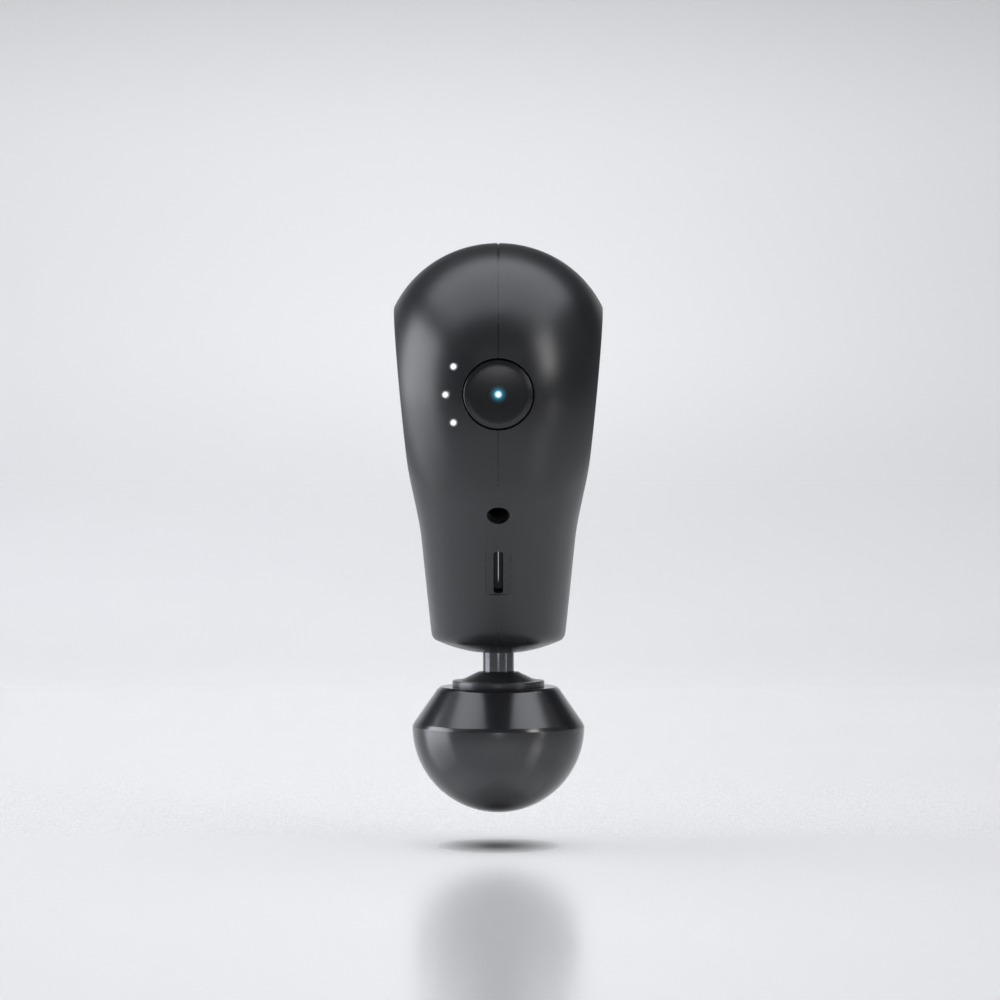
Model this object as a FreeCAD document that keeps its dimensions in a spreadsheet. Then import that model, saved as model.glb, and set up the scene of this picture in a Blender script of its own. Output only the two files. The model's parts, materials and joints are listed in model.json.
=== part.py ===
import FreeCAD, Part
import math
import os
from FreeCAD import Placement, Rotation, Vector
import Sketcher

# Compact triangular massage gun, in millimetres.
# Z is up and the plunger runs along it.  The origin is the tip of the round massage head.
# -Y is the face with the power button, X is the width of the casing.

doc = FreeCAD.newDocument("massage_gun")
sheet = doc.addObject("Spreadsheet::Sheet", "dims")

# ---------------------------------------------------------------- driving dimensions
DIMENSIONS = [
    # casing: a rounded triangle seen from the side, crowned all round, with tapered flat sides
    ("corner_depth", 25.7, "upper corner centres, each side of the plunger axis"),
    ("corner_level", 112.9, "height of the upper corner centres and of the button"),
    ("corner_radius", 41.8, "radius of the two upper corners"),
    ("face_tilt", 43.5, "degrees that a slanted face looks down below level"),
    ("base_radius", 20.0, "radius that rounds the lower corner before the nose is cut"),
    ("crown_radius", 33.6, "cross crown of the outer band at full width"),
    ("half_width", 28.44, "half width of the casing at the top"),
    ("width_level", 144.2, "height at which half_width is measured"),
    ("taper_level", -149.0, "height of the line where the two tapered sides would meet"),
    ("edge_round", 1.6, "rounding between the crown and a flat side"),
    ("wall", 2.3, "casing wall under the crown"),
    ("side_wall", 3.2, "casing wall under a flat side"),
    ("seam_width", 0.34, "width of the groove along the parting line"),
    ("seam_depth", 0.35, "depth of that groove"),
    ("nose_bottom", 43.8, "lowest point of the nose"),
    ("nose_cross", 41.5, "radius of the nose across the width"),
    ("nose_along", 60.0, "radius of the nose from front to back"),
    ("nose_hole", 7.2, "radius of the opening for the nose ring"),
    ("nose_wall", 2.6, "thickness of the nose wall"),
    # side covers and casing screws
    ("cover_margin", 1.35, "cover edge inside the edge of the flat side"),
    ("cover_gap", 0.2, "gap round a cover"),
    ("cover_plate", 1.2, "thickness of a side cover"),
    ("boss_radius", 3.5, "screw bosses"),
    ("screw_head", 2.6, "head radius of a casing screw"),
    ("head_height", 1.8, "head height of a casing screw"),
    ("screw_shank", 1.25, "shank radius of a casing screw"),
    ("screw_length", 26.0, "shank length of a casing screw"),
    # plunger and massage head
    ("shaft_radius", 4.3, "plunger shaft"),
    ("shaft_foot", 20.0, "lower end of the shaft, inside the head"),
    ("shaft_shoulder", 84.0, "where the shaft meets the yoke"),
    ("spigot_radius", 3.0, "upper spigot of the shaft"),
    ("spigot_top", 90.8, "top of the spigot"),
    ("ring_groove", 26.0, "level of the retaining ring"),
    ("ball_radius", 23.77, "round massage head"),
    ("flank_radius", 23.3, "head radius where the flank starts"),
    ("flank_start", 24.7, "height where the flank starts"),
    ("neck_radius", 16.9, "head radius where the flank ends"),
    ("neck_level", 34.0, "height where the flank ends"),
    ("head_top", 34.7, "flat top of the head"),
    ("plug_radius", 9.0, "core plug inside the head"),
    ("plug_foot", 16.0, "lower end of the core plug"),
    ("flange_radius", 12.7, "core flange"),
    ("flange_top", 36.35, "top of the core flange"),
    ("collar_foot", 10.5, "collar radius on the flange"),
    ("collar_neck", 5.5, "collar radius round the shaft"),
    ("collar_top", 38.8, "top of the collar"),
    ("socket_play", 0.08, "radial play of the head socket on the shaft"),
    # guide and nose
    ("guide_outer", 9.0, "outside radius of the guide tube"),
    ("guide_bore", 6.3, "bore radius of the guide tube"),
    ("guide_foot", 48.0, "lower end of the guide tube"),
    ("guide_top", 71.5, "upper end of the guide tube"),
    ("bush_play", 0.03, "radial play of the shaft in its bushes"),
    ("fit_gap", 0.02, "gap between pieces that are pressed together"),
    ("bush_length", 9.0, "length of a guide bush"),
    ("nose_ring_inner", 5.6, "bore radius of the nose ring"),
    ("nose_ring_rise", 0.5, "nose ring above the lowest point of the nose"),
    ("nose_ring_length", 2.6, "length of the nose ring"),
    ("wiper_play", 0.05, "radial play of the wiper seal"),
    # drive
    ("drive_level", 92.0, "height of the motor and crank axis"),
    ("throw", 6.0, "radius of the crank pin's circle, half the stroke"),
    ("plate_front", 9.0, "front of the motor plate"),
    ("plate_back", 12.0, "back of the motor plate"),
    ("motor_radius", 18.0, "motor housing"),
    ("motor_back", 37.0, "back of the motor housing"),
    ("motor_wall", 1.0, "motor housing wall"),
    ("axle_radius", 2.5, "motor shaft"),
    ("bearing_radius", 6.5, "motor bearings"),
    ("disc_front", 4.6, "front of the crank disc"),
    ("disc_back", 8.2, "back of the crank disc"),
    ("disc_radius", 11.0, "crank disc"),
    ("weight_radius", 16.0, "counterweight side of the crank disc"),
    ("pin_radius", 2.5, "crank pin"),
    ("roller_radius", 5.0, "roller on the crank pin"),
    ("roller_half", 3.3, "half length of the roller"),
    ("yoke_half_depth", 3.4, "half thickness of the yoke"),
    ("yoke_half_width", 15.0, "half width of the yoke"),
    ("yoke_half_height", 10.2, "half height of the yoke"),
    ("slot_half_height", 6.4, "half height of the yoke slot"),
    ("slot_half_width", 11.6, "half width of the yoke slot"),
    # power button and speed lights
    ("button_hole", 9.15, "radius of the button hole"),
    ("button_radius", 8.85, "radius of the button"),
    ("button_disc", 7.3, "radius of the button's inner disc"),
    ("button_rim", 66.45, "depth of the button's rim in front of the axis"),
    ("button_dish", 0.45, "how far the middle of the disc lies below the rim"),
    ("lens_radius", 0.97, "button lens"),
    ("light_radius", 0.92, "speed lights"),
    ("light_circle", 13.4, "radius of the arc that the speed lights lie on"),
    ("light_step", 32.0, "degrees between two speed lights"),
    # charging inlet and indicator window
    ("inlet_level", 82.1, "height of the charging inlet"),
    ("inlet_radius", 2.9, "hole for the charging inlet"),
    ("window_level", 67.0, "height of the indicator window's centre"),
    ("window_width", 2.5, "width of the indicator window"),
    ("window_length", 15.4, "length of the indicator window"),
    ("pad_width", 6.6, "recess round the indicator window"),
    ("pad_length", 16.4, "length of that recess"),
    ("pad_depth", 0.22, "depth of that recess"),
    ("window_sunk", 1.1, "window's front below the face"),
    # battery
    ("cell_radius", 9.2, "battery cells"),
    ("cell_length", 65.0, "length of a battery cell"),
    ("upper_cells", 139.4, "height of the two upper cells"),
    ("cell_spread", 9.45, "upper cells, each side of the middle"),
    ("lower_cell", 123.1, "height of the lower cell"),
]


def fill_sheet():
    """Write each dimension as plain text beside its note, and give its cell a name."""
    for row, (alias, value, note) in enumerate(DIMENSIONS, 1):
        sheet.set(f"A{row}", note)
        sheet.set(f"B{row}", str(value))
        sheet.setAlias(f"B{row}", alias)
    doc.recompute()


fill_sheet()


class Size:
    """A dimension that carries its number and the sheet expression that gives it."""

    def __init__(self, number, text):
        self.number = number
        self.text = text

    def __add__(self, other):
        other = as_size(other)
        return Size(self.number + other.number, f"({self.text} + {other.text})")

    def __sub__(self, other):
        other = as_size(other)
        return Size(self.number - other.number, f"({self.text} - {other.text})")

    def __mul__(self, other):
        other = as_size(other)
        return Size(self.number * other.number, f"({self.text} * {other.text})")

    def __rsub__(self, other):
        return as_size(other) - self

    def __neg__(self):
        return Size(-self.number, f"(0 - {self.text})")

    __radd__ = __add__
    __rmul__ = __mul__


def as_size(value):
    """Turn a bare number into a Size, and leave a Size as it is."""
    if isinstance(value, Size):
        return value
    return Size(float(value), f"({float(value)!r})")


def dim(alias):
    """The named cell of the sheet, as a Size."""
    return Size(float(getattr(sheet, alias)), f"dims.{alias}")


def num(alias):
    """The number in a named cell, for shapes that are worked out in code."""
    return dim(alias).number


# ---------------------------------------------------------------- small building helpers
ALONG = {
    "x": Rotation(Vector(0, 1, 0), 90),
    "y": Rotation(Vector(1, 0, 0), -90),
    "z": Rotation(),
}
nodes = []


def node(thing, label):
    """Mark an object as a finished sub-part and give it the label that names its file."""
    thing.Label = label
    nodes.append(thing)
    return thing


def bind(thing, **sizes):
    """Set properties to sizes, and tie each one to its cell."""
    for name, size in sizes.items():
        size = as_size(size)
        setattr(thing, name, size.number)
        thing.setExpression(name, size.text)


def place(thing, at, rotation=Rotation()):
    """Put an object at three sizes, each tied to its cell."""
    sizes = [as_size(value) for value in at]
    thing.Placement = Placement(Vector(*[size.number for size in sizes]), rotation)
    for letter, size in zip("xyz", sizes):
        thing.setExpression(f"Placement.Base.{letter}", size.text)


def cylinder(radius, length, at, along="z", angle=360.0):
    """A cylinder from a point, along an axis."""
    thing = doc.addObject("Part::Cylinder", "Cylinder")
    bind(thing, Radius=radius, Height=length)
    thing.Angle = angle
    place(thing, at, ALONG[along])
    return thing


def box(low, high):
    """A box between two corners."""
    low = [as_size(value) for value in low]
    high = [as_size(value) for value in high]
    thing = doc.addObject("Part::Box", "Box")
    bind(thing, Length=high[0] - low[0], Width=high[1] - low[1], Height=high[2] - low[2])
    place(thing, low)
    return thing


def fused(*things):
    """Several overlapping objects as one."""
    thing = doc.addObject("Part::MultiFuse", "Fusion")
    thing.Shapes = list(things)
    thing.Refine = True
    return thing


def group(*things):
    """Several separate solids of one kind as one sub-part."""
    thing = doc.addObject("Part::Compound", "Group")
    thing.Links = list(things)
    return thing


def cut(base, *tools):
    """One object less one or more others."""
    thing = doc.addObject("Part::Cut", "Cut")
    thing.Base = base
    thing.Tool = tools[0] if len(tools) == 1 else fused(*tools)
    thing.Refine = True
    return thing


def tube(outer, inner, length, at, along="z"):
    """A ring or tube."""
    start = list(at)
    reach = as_size(length)
    return cut(cylinder(outer, reach, start, along), cylinder(inner, reach, start, along))


def origin_plane(body, role):
    """One of a body's own origin planes."""
    return next(feature for feature in body.Origin.OriginFeatures if feature.Role == role)


def outline_sketch(body, role, corners, arcs=None):
    """A closed sketch through corners given as pairs of sizes, each corner tied to the sheet.

    arcs gives, for an edge's number, the centre and radius of an anticlockwise arc in place
    of a straight edge.
    """
    arcs = arcs or {}
    sketch = body.newObject("Sketcher::SketchObject", "Outline")
    sketch.AttachmentSupport = [(origin_plane(body, role), "")]
    sketch.MapMode = "FlatFace"
    corners = [(as_size(across), as_size(up)) for across, up in corners]
    spots = [Vector(across.number, up.number, 0) for across, up in corners]
    count = len(corners)
    for index in range(count):
        first = spots[index]
        last = spots[(index + 1) % count]
        if index in arcs:
            centre, radius = arcs[index]
            middle = Vector(as_size(centre[0]).number, as_size(centre[1]).number, 0)
            start = math.atan2(first.y - middle.y, first.x - middle.x)
            end = math.atan2(last.y - middle.y, last.x - middle.x)
            circle = Part.Circle(middle, Vector(0, 0, 1), as_size(radius).number)
            sketch.addGeometry(Part.ArcOfCircle(circle, start, end), False)
        else:
            sketch.addGeometry(Part.LineSegment(first, last), False)
    for index in range(count):
        following = (index + 1) % count
        sketch.addConstraint(Sketcher.Constraint("Coincident", index, 2, following, 1))
    for index, (across, up) in enumerate(corners):
        pin_down(sketch, index, "DistanceX", across, -2)
        pin_down(sketch, index, "DistanceY", up, -1)
    for index, (centre, radius) in arcs.items():
        radius = as_size(radius)
        row = sketch.addConstraint(Sketcher.Constraint("Radius", index, radius.number))
        sketch.setExpression(f"Constraints[{row}]", radius.text)
    return sketch


def pin_down(sketch, index, kind, size, axis):
    """Fix one coordinate of an edge's start: on an axis when it is zero, else at its size."""
    if size.number == 0:
        sketch.addConstraint(Sketcher.Constraint("PointOnObject", index, 1, axis))
        return
    row = sketch.addConstraint(Sketcher.Constraint(kind, -1, 1, index, 1, size.number))
    sketch.setExpression(f"Constraints[{row}]", size.text)


def new_body(name):
    return doc.addObject("PartDesign::Body", name)


def turned(name, corners, at=(0, 0, 0), along="z", arcs=None):
    """A turned piece: a half section given as (radius, height) pairs, spun about its axis."""
    body = new_body(name)
    sketch = outline_sketch(body, "XZ_Plane", corners, arcs)
    turn = body.newObject("PartDesign::Revolution", "Turn")
    turn.Profile = sketch
    turn.ReferenceAxis = (sketch, ["V_Axis"])
    turn.Angle = 360.0
    sketch.Visibility = False
    place(body, at, ALONG[along])
    return body


def plate(name, corners, thickness, at=(0, 0, 0), role="XZ_Plane"):
    """A flat piece: an outline padded by its thickness along its plane's normal."""
    body = new_body(name)
    sketch = outline_sketch(body, role, corners)
    pad = body.newObject("PartDesign::Pad", "Pad")
    pad.Profile = sketch
    bind(pad, Length=thickness)
    sketch.Visibility = False
    place(body, at)
    return body


def ring_profile(outer, inner, low, high):
    """The half section of a plain ring."""
    return [(inner, low), (outer, low), (outer, high), (inner, high)]


def feature(shape, label):
    """A sub-part whose shape is worked out in code, because it follows the casing's form."""
    thing = doc.addObject("Part::Feature", label)
    thing.Shape = shape
    thing.Placement = Placement(Vector(0, 0, 0), Rotation())
    return node(thing, label)


# ---------------------------------------------------------------- the casing's form
TILT = math.radians(num("face_tilt"))
FACE_IN = Vector(0, math.cos(TILT), math.sin(TILT))
FACE_OUT = FACE_IN * -1
SIDE_SLOPE = num("half_width") / (num("width_level") - num("taper_level"))
SIDE_ANGLE = math.atan(SIDE_SLOPE)


def base_centre():
    """Height of the lower corner's centre, so that one straight face touches both corners."""
    reach = num("corner_radius") - num("base_radius") + num("corner_depth") * math.cos(TILT)
    return num("corner_level") - reach / math.sin(TILT)


def face_point(level):
    """The point of the front face's middle line at a height."""
    centre = Vector(0, -num("corner_depth"), num("corner_level"))
    touch = centre + FACE_OUT * num("corner_radius")
    back = (touch.z - level) / math.cos(TILT)
    return touch + Vector(0, math.sin(TILT), -math.cos(TILT)) * back


def side_outline(offset, angle):
    """The rounded triangle, drawn inwards by offset, in a plane turned by angle.

    The plane turns about the line where the casing's two tapered sides would meet.
    """
    pivot = num("taper_level")
    depth = num("corner_depth")
    level = num("corner_level")
    upper = num("corner_radius") - offset
    lower = num("base_radius") - offset
    tilt = num("face_tilt")

    def spot(across, up, radius, degrees):
        turn = math.radians(degrees)
        reach = up + radius * math.sin(turn) - pivot
        along = across + radius * math.cos(turn)
        return Vector(reach * math.sin(angle), along, pivot + reach * math.cos(angle))

    def arc(across, up, radius, start, end):
        middle = (start + end) / 2
        stops = [spot(across, up, radius, turn) for turn in (start, middle, end)]
        return Part.Arc(*stops).toShape()

    base = base_centre()
    front = arc(-depth, level, upper, 90, 180 + tilt)
    bottom = arc(0, base, lower, 180 + tilt, 360 - tilt)
    back = arc(depth, level, upper, -tilt, 90)
    ends = [front, bottom, back]
    edges = []
    for here, following in zip(ends, ends[1:] + ends[:1]):
        edges.append(here)
        start = here.valueAt(here.LastParameter)
        stop = following.valueAt(following.FirstParameter)
        edges.append(Part.LineSegment(start, stop).toShape())
    return Part.Wire(edges)


def crown_stations(wall, side_wall, edge):
    """Pairs of (distance from the middle, offset) down one side of the crowned band.

    A wide arc carries the crown, and a small arc, tangent to it, rounds it into the side.
    """
    radius = num("crown_radius") - wall
    half = num("half_width") - side_wall
    edge_across = half - edge
    edge_down = num("crown_radius") - math.sqrt((radius - edge) ** 2 - edge_across ** 2)
    meet = math.asin(edge_across / (radius - edge))
    stations = []
    crown_steps = 6
    edge_steps = 4
    for step in range(crown_steps + 1):
        turn = meet * step / crown_steps
        stations.append((radius * math.sin(turn), num("crown_radius") - radius * math.cos(turn)))
    for step in range(1, edge_steps + 1):
        turn = meet + (math.pi / 2 - meet) * step / edge_steps
        stations.append((edge_across + edge * math.sin(turn), edge_down - edge * math.cos(turn)))
    return stations


def casing_form(wall, side_wall, edge):
    """The casing's solid form, drawn inwards by the walls: a loft through its outlines."""
    one_side = crown_stations(wall, side_wall, edge)
    stations = [(-across, offset) for across, offset in reversed(one_side[1:])] + one_side
    wires = []
    for across, offset in stations:
        angle = math.atan(across / num("half_width") * SIDE_SLOPE)
        wires.append(side_outline(offset, angle))
    return Part.makeLoft(wires, True, False, False, 5)


def nose_cutter(lift=0.0):
    """The space below the nose: a shallow cross arc swung about a line across the width."""
    cross = num("nose_cross")
    reach = 30.0
    rise = cross - math.sqrt(cross ** 2 - reach ** 2)
    low = num("nose_bottom") + lift
    left = Vector(-reach, 0, low + rise)
    right = Vector(reach, 0, low + rise)
    arc = Part.Arc(left, Vector(0, 0, low), right).toShape()
    down = Part.makePolygon([right, Vector(reach, 0, 0), Vector(-reach, 0, 0), left])
    face = Part.Face(Part.Wire([arc] + down.Edges))
    axis = Vector(0, 0, low + num("nose_along"))
    swing = 40.0
    face.rotate(axis, Vector(1, 0, 0), -swing)
    return face.revolve(axis, Vector(1, 0, 0), 2 * swing)


OUTER = casing_form(0.0, 0.0, num("edge_round"))
OUTER_CUT = OUTER.cut(nose_cutter())
INNER = casing_form(num("wall"), num("side_wall"), 0.4).cut(nose_cutter(num("nose_wall")))
SEAM_FORM = casing_form(num("seam_depth"), num("seam_depth"), num("edge_round"))


def side_x(level):
    """Distance of the flat side from the middle, at a height."""
    return (level - num("taper_level")) * SIDE_SLOPE


def inner_side_x(level):
    """Distance of the side's inner face from the middle, at a height."""
    return side_x(level) * (1 - num("side_wall") / num("half_width"))


def round_bar(radius, start, end):
    """A plain cylinder shape between two points."""
    way = end - start
    return Part.makeCylinder(radius, way.Length, start, way)


def face_slot(width, length, shallow, deep, corner, level):
    """A rounded slot set square to the front face, from one depth to another."""
    block = Part.makeBox(width, length, deep - shallow, Vector(-width / 2, -length / 2, -deep))
    uprights = [edge for edge in block.Edges if abs(edge.tangentAt(0).z) > 0.9]
    block = block.makeFillet(corner, uprights)
    block.Placement = Placement(face_point(level), Rotation(Vector(1, 0, 0), 90 + num("face_tilt")))
    return block


# places of the casing screws and of the drive's rubber mounts, as (front to back, height)
SCREW_SPOTS = [(-45.0, 112.0), (46.0, 112.0), (-17.0, 74.0), (-37.5, 129.0), (37.5, 129.0)]
MOUNT_HEIGHTS = [(72.0, 14.0), (104.0, 16.5)]
MOUNT_DEPTH = (num("plate_front") + num("plate_back")) / 2
STUB_RADIUS = 2.0
ISOLATOR_RADIUS = 4.5
ISOLATOR_WIDTH = 3.0
ISOLATOR_GAP = 0.3


def screw_seat(level):
    """Where a casing screw's head bears, as a distance from the middle."""
    cover_floor = inner_side_x(level) + 0.6
    return cover_floor - num("head_height")


def speed_light_spots():
    """The three speed lights, as (across, height), on an arc left of the button."""
    spots = []
    for step in (-1, 0, 1):
        turn = math.radians(180 + step * num("light_step"))
        across = num("light_circle") * math.cos(turn)
        level = num("corner_level") + num("light_circle") * math.sin(turn)
        spots.append((across, level))
    return spots


def cover_outline(margin, side):
    """A side cover's outline, in the plane of the left (-1) or right (+1) flat side."""
    last_offset = crown_stations(0.0, 0.0, num("edge_round"))[-1][1]
    return side_outline(last_offset + margin, side * SIDE_ANGLE)


def cover_solid(margin, side):
    """A side cover's solid, or the recess that it lies in."""
    inward = Vector(-side * math.cos(SIDE_ANGLE), 0, math.sin(SIDE_ANGLE)) * num("cover_plate")
    return Part.Face(cover_outline(margin, side)).extrude(inward)


def casing_bosses():
    """Screw bosses across the casing, and the cups that hold the rubber mounts."""
    far = num("half_width")
    bosses = []
    for depth, level in SCREW_SPOTS:
        left = Vector(-far, depth, level)
        bosses.append(round_bar(num("boss_radius"), left, Vector(far, depth, level)))
    for level, start in MOUNT_HEIGHTS:
        for side in (-1, 1):
            near = Vector(side * (start + 1.0), MOUNT_DEPTH, level)
            cup = round_bar(ISOLATOR_RADIUS + 1.6, near, Vector(side * far, MOUNT_DEPTH, level))
            end = Vector(side * (start + ISOLATOR_GAP + ISOLATOR_WIDTH + 0.1), MOUNT_DEPTH, level)
            hollow = round_bar(ISOLATOR_RADIUS + num("fit_gap"), near, end)
            bosses.append(cup.cut(hollow))
    return bosses


def casing_holes():
    """Everything that is cut out of the casing: button, lights, inlet, window, nose, screws."""
    level = num("corner_level")
    holes = [round_bar(num("button_hole"), Vector(0, -75, level), Vector(0, -60, level))]
    for across, up in speed_light_spots():
        radius = num("light_radius") + num("fit_gap")
        holes.append(round_bar(radius, Vector(across, -75, up), Vector(across, -58, up)))
    inlet = face_point(num("inlet_level"))
    holes.append(round_bar(num("inlet_radius"), inlet + FACE_OUT * 3, inlet + FACE_IN * 8))
    window = num("window_level")
    pad = (num("pad_width"), num("pad_length"))
    holes.append(face_slot(*pad, -2.0, num("pad_depth"), 1.2, window))
    holes.append(face_slot(num("window_width"), num("window_length"), 0.0, 6.0, 0.8, window))
    holes.append(round_bar(num("nose_hole"), Vector(0, 0, 30), Vector(0, 0, 52)))
    for depth, up in SCREW_SPOTS:
        seat = screw_seat(up)
        bearing = Vector(seat, depth, up)
        parting = Vector(0, depth, up)
        holes.append(round_bar(num("screw_head") + 0.2, bearing, Vector(32, depth, up)))
        holes.append(round_bar(num("screw_shank") + 0.35, parting, bearing))
        pilot_end = seat - num("screw_length") - 1.0
        radius = num("screw_shank") + num("fit_gap")
        holes.append(round_bar(radius, Vector(pilot_end, depth, up), parting))
    for side in (-1, 1):
        holes.append(cover_solid(num("cover_margin") - num("cover_gap"), side))
    half = num("seam_width") / 2
    slab = Part.makeBox(2 * half, 160, 140, Vector(-half, -80, 30))
    holes.append(slab.cut(SEAM_FORM))
    return holes


def make_casing():
    """The two moulded half shells, which meet on the middle plane."""
    shell = OUTER_CUT.cut(INNER)
    bosses = Part.makeCompound(casing_bosses()).common(OUTER_CUT)
    whole = shell.fuse(bosses.Solids)
    whole = whole.cut(casing_holes())
    for label, low in (("right_shell", 0), ("left_shell", -60)):
        half = Part.makeBox(60, 200, 200, Vector(low, -100, 0))
        feature(whole.common(half).Solids[0], label)


def make_covers():
    """Flush side covers over the screw heads."""
    for label, side in (("left_side_cover", -1), ("right_side_cover", 1)):
        feature(cover_solid(num("cover_margin"), side), label)


def make_casing_screws():
    """Casing screws, all driven from the right side."""
    screws = []
    for depth, level in SCREW_SPOTS:
        seat = screw_seat(level)
        head = cylinder(dim("screw_head"), dim("head_height"), (seat, depth, level), "x")
        socket = cylinder(1.3, 1.0, (seat + num("head_height") - 1.0, depth, level), "x")
        start = (seat - dim("screw_length"), depth, level)
        shank = cylinder(dim("screw_shank"), dim("screw_length"), start, "x")
        screws.append(cut(fused(head, shank), socket))
    node(group(*screws), "casing_screws")


# ---------------------------------------------------------------- nose, guide and drive frame
MOTOR_PILOT = 8.0
MOTOR_SCREW = 1.0
MOTOR_SCREW_HEAD = 1.9
MOTOR_SCREW_CIRCLE = 12.5


def make_nose():
    """The ring that closes the nose, and the rubber wiper inside it."""
    low = dim("nose_bottom") + dim("nose_ring_rise")
    high = low + dim("nose_ring_length")
    outer = dim("nose_hole") - 0.1
    inner = dim("nose_ring_inner")
    corners = [(inner, low), (outer - 0.4, low), (outer, low + 0.4), (outer, high), (inner, high)]
    node(turned("NoseRing", corners), "nose_ring")
    lip = dim("shaft_radius") + dim("wiper_play")
    seat = inner - dim("fit_gap")
    foot = low + 0.3
    corners = [(lip + 0.4, foot), (seat, foot), (seat, high), (lip + 0.7, high), (lip, low + 0.7)]
    node(turned("Wiper", corners), "wiper_seal")


def make_drive_frame():
    """The metal frame: motor plate, guide tube, web between them, and stubs for the mounts."""
    low = dim("guide_foot") + 18.0
    high = dim("drive_level") + 19.0
    corners = [
        (-14.0, low), (14.0, low), (14.0, low + 16.0), (16.5, low + 26.0), (16.5, high - 6.0),
        (11.0, high), (-11.0, high), (-16.5, high - 6.0), (-16.5, low + 26.0), (-14.0, low + 16.0),
    ]
    thickness = dim("plate_back") - dim("plate_front")
    motor_plate = plate("MotorPlate", corners, thickness, (0, dim("plate_back"), 0))
    guide_length = dim("guide_top") - dim("guide_foot")
    guide = cylinder(dim("guide_outer"), guide_length, (0, 0, dim("guide_foot")))
    web = box((-3.0, 6.0, dim("guide_foot") + 3.0), (3.0, dim("plate_back"), dim("guide_top")))
    pieces = [motor_plate, guide, web]
    for level, start in MOUNT_HEIGHTS:
        reach = ISOLATOR_GAP + ISOLATOR_WIDTH
        for begin in (start - 1.0, -start - reach):
            pieces.append(cylinder(STUB_RADIUS, reach + 1.0, (begin, MOUNT_DEPTH, level), "x"))
    bore = cylinder(dim("guide_bore"), guide_length, (0, 0, dim("guide_foot")))
    axis = (0, dim("plate_front") - 1, dim("drive_level"))
    holes = [bore, cylinder(MOTOR_PILOT, 6.0, axis, "y")]
    for across, up in motor_screw_spots():
        spot = (across, dim("plate_front") - 0.5, up)
        holes.append(cylinder(MOTOR_SCREW + 0.1, 5.0, spot, "y"))
        holes.append(cylinder(MOTOR_SCREW_HEAD + 0.2, 1.8, spot, "y"))
    node(cut(fused(*pieces), *holes), "drive_frame")


def motor_screw_spots():
    """Four motor screws on a circle round the motor axis, as (across, height)."""
    spots = []
    for step in range(4):
        turn = math.radians(45 + 90 * step)
        up = dim("drive_level") + MOTOR_SCREW_CIRCLE * math.sin(turn)
        spots.append((MOTOR_SCREW_CIRCLE * math.cos(turn), up))
    return spots


def make_guide_and_mounts():
    """Two plain bushes in the guide tube, and four rubber rings that carry the frame."""
    outer = dim("guide_bore") - dim("fit_gap")
    inner = dim("shaft_radius") + dim("bush_play")
    low = dim("guide_foot") + 0.5
    high = dim("guide_top") - 1.0 - dim("bush_length")
    bushes = []
    for index, foot in enumerate((low, high)):
        corners = ring_profile(outer, inner, 0, dim("bush_length"))
        bushes.append(turned(f"Bush{index}", corners, (0, 0, foot)))
    node(group(*bushes), "guide_bushes")
    rings = []
    for level, start in MOUNT_HEIGHTS:
        for begin in (start + ISOLATOR_GAP, -start - ISOLATOR_GAP - ISOLATOR_WIDTH):
            spot = (begin, MOUNT_DEPTH, level)
            rings.append(tube(ISOLATOR_RADIUS, STUB_RADIUS + num("fit_gap"), ISOLATOR_WIDTH, spot, "x"))
    node(group(*rings), "rubber_mounts")


# ---------------------------------------------------------------- motor and crank
def make_motor():
    """Brushless motor: can, back cap, slotted stator, coils, two bearings, and the screws."""
    level = dim("drive_level")
    front = dim("plate_back")
    outer = dim("motor_radius")
    bore = outer - dim("motor_wall")
    seat = dim("bearing_radius") + dim("fit_gap")
    length = dim("motor_back") - front
    corners = [
        (4.0, 0), (outer, 0), (outer, length), (bore, length), (bore, 2.2), (8.0, 2.2),
        (8.0, 4.6), (seat, 4.6), (seat, 0.6), (4.0, 0.6),
    ]
    can = turned("MotorCan", corners, (0, front, level), "y")
    threads = []
    for across, up in motor_screw_spots():
        threads.append(cylinder(MOTOR_SCREW + 0.02, 3.0, (across, front - 0.5, up), "y"))
    node(cut(can, *threads), "motor_housing")
    corners = [
        (0, 3.2), (0, 2.2), (seat, 2.2), (seat, 0), (8.0, 0), (8.0, 1.2),
        (bore - 0.2, 1.2), (bore - 0.2, 2.2), (outer, 2.2), (outer, 3.2),
    ]
    corners = [(radius, as_size(up) + length - 2.2) for radius, up in corners]
    node(turned("MotorCap", corners, (0, front, level), "y"), "motor_end_cap")
    bearings = []
    for index, begin in enumerate((front + 0.7, front + length - 2.1)):
        inner = dim("axle_radius") + 0.04
        length_of_bearing = 2.0 if index else 3.8
        corners = ring_profile(dim("bearing_radius"), inner, 0, length_of_bearing)
        bearings.append(turned(f"Bearing{index}", corners, (0, begin, level), "y"))
    node(group(*bearings), "motor_bearings")
    make_stator(level, front)
    screws = []
    for across, up in motor_screw_spots():
        head = cylinder(MOTOR_SCREW_HEAD, 1.2, (across, dim("plate_front") + 0.08, up), "y")
        shank = cylinder(MOTOR_SCREW, 4.2, (across, dim("plate_front") + 1.0, up), "y")
        screws.append(fused(head, shank))
    node(group(*screws), "motor_screws")


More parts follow.
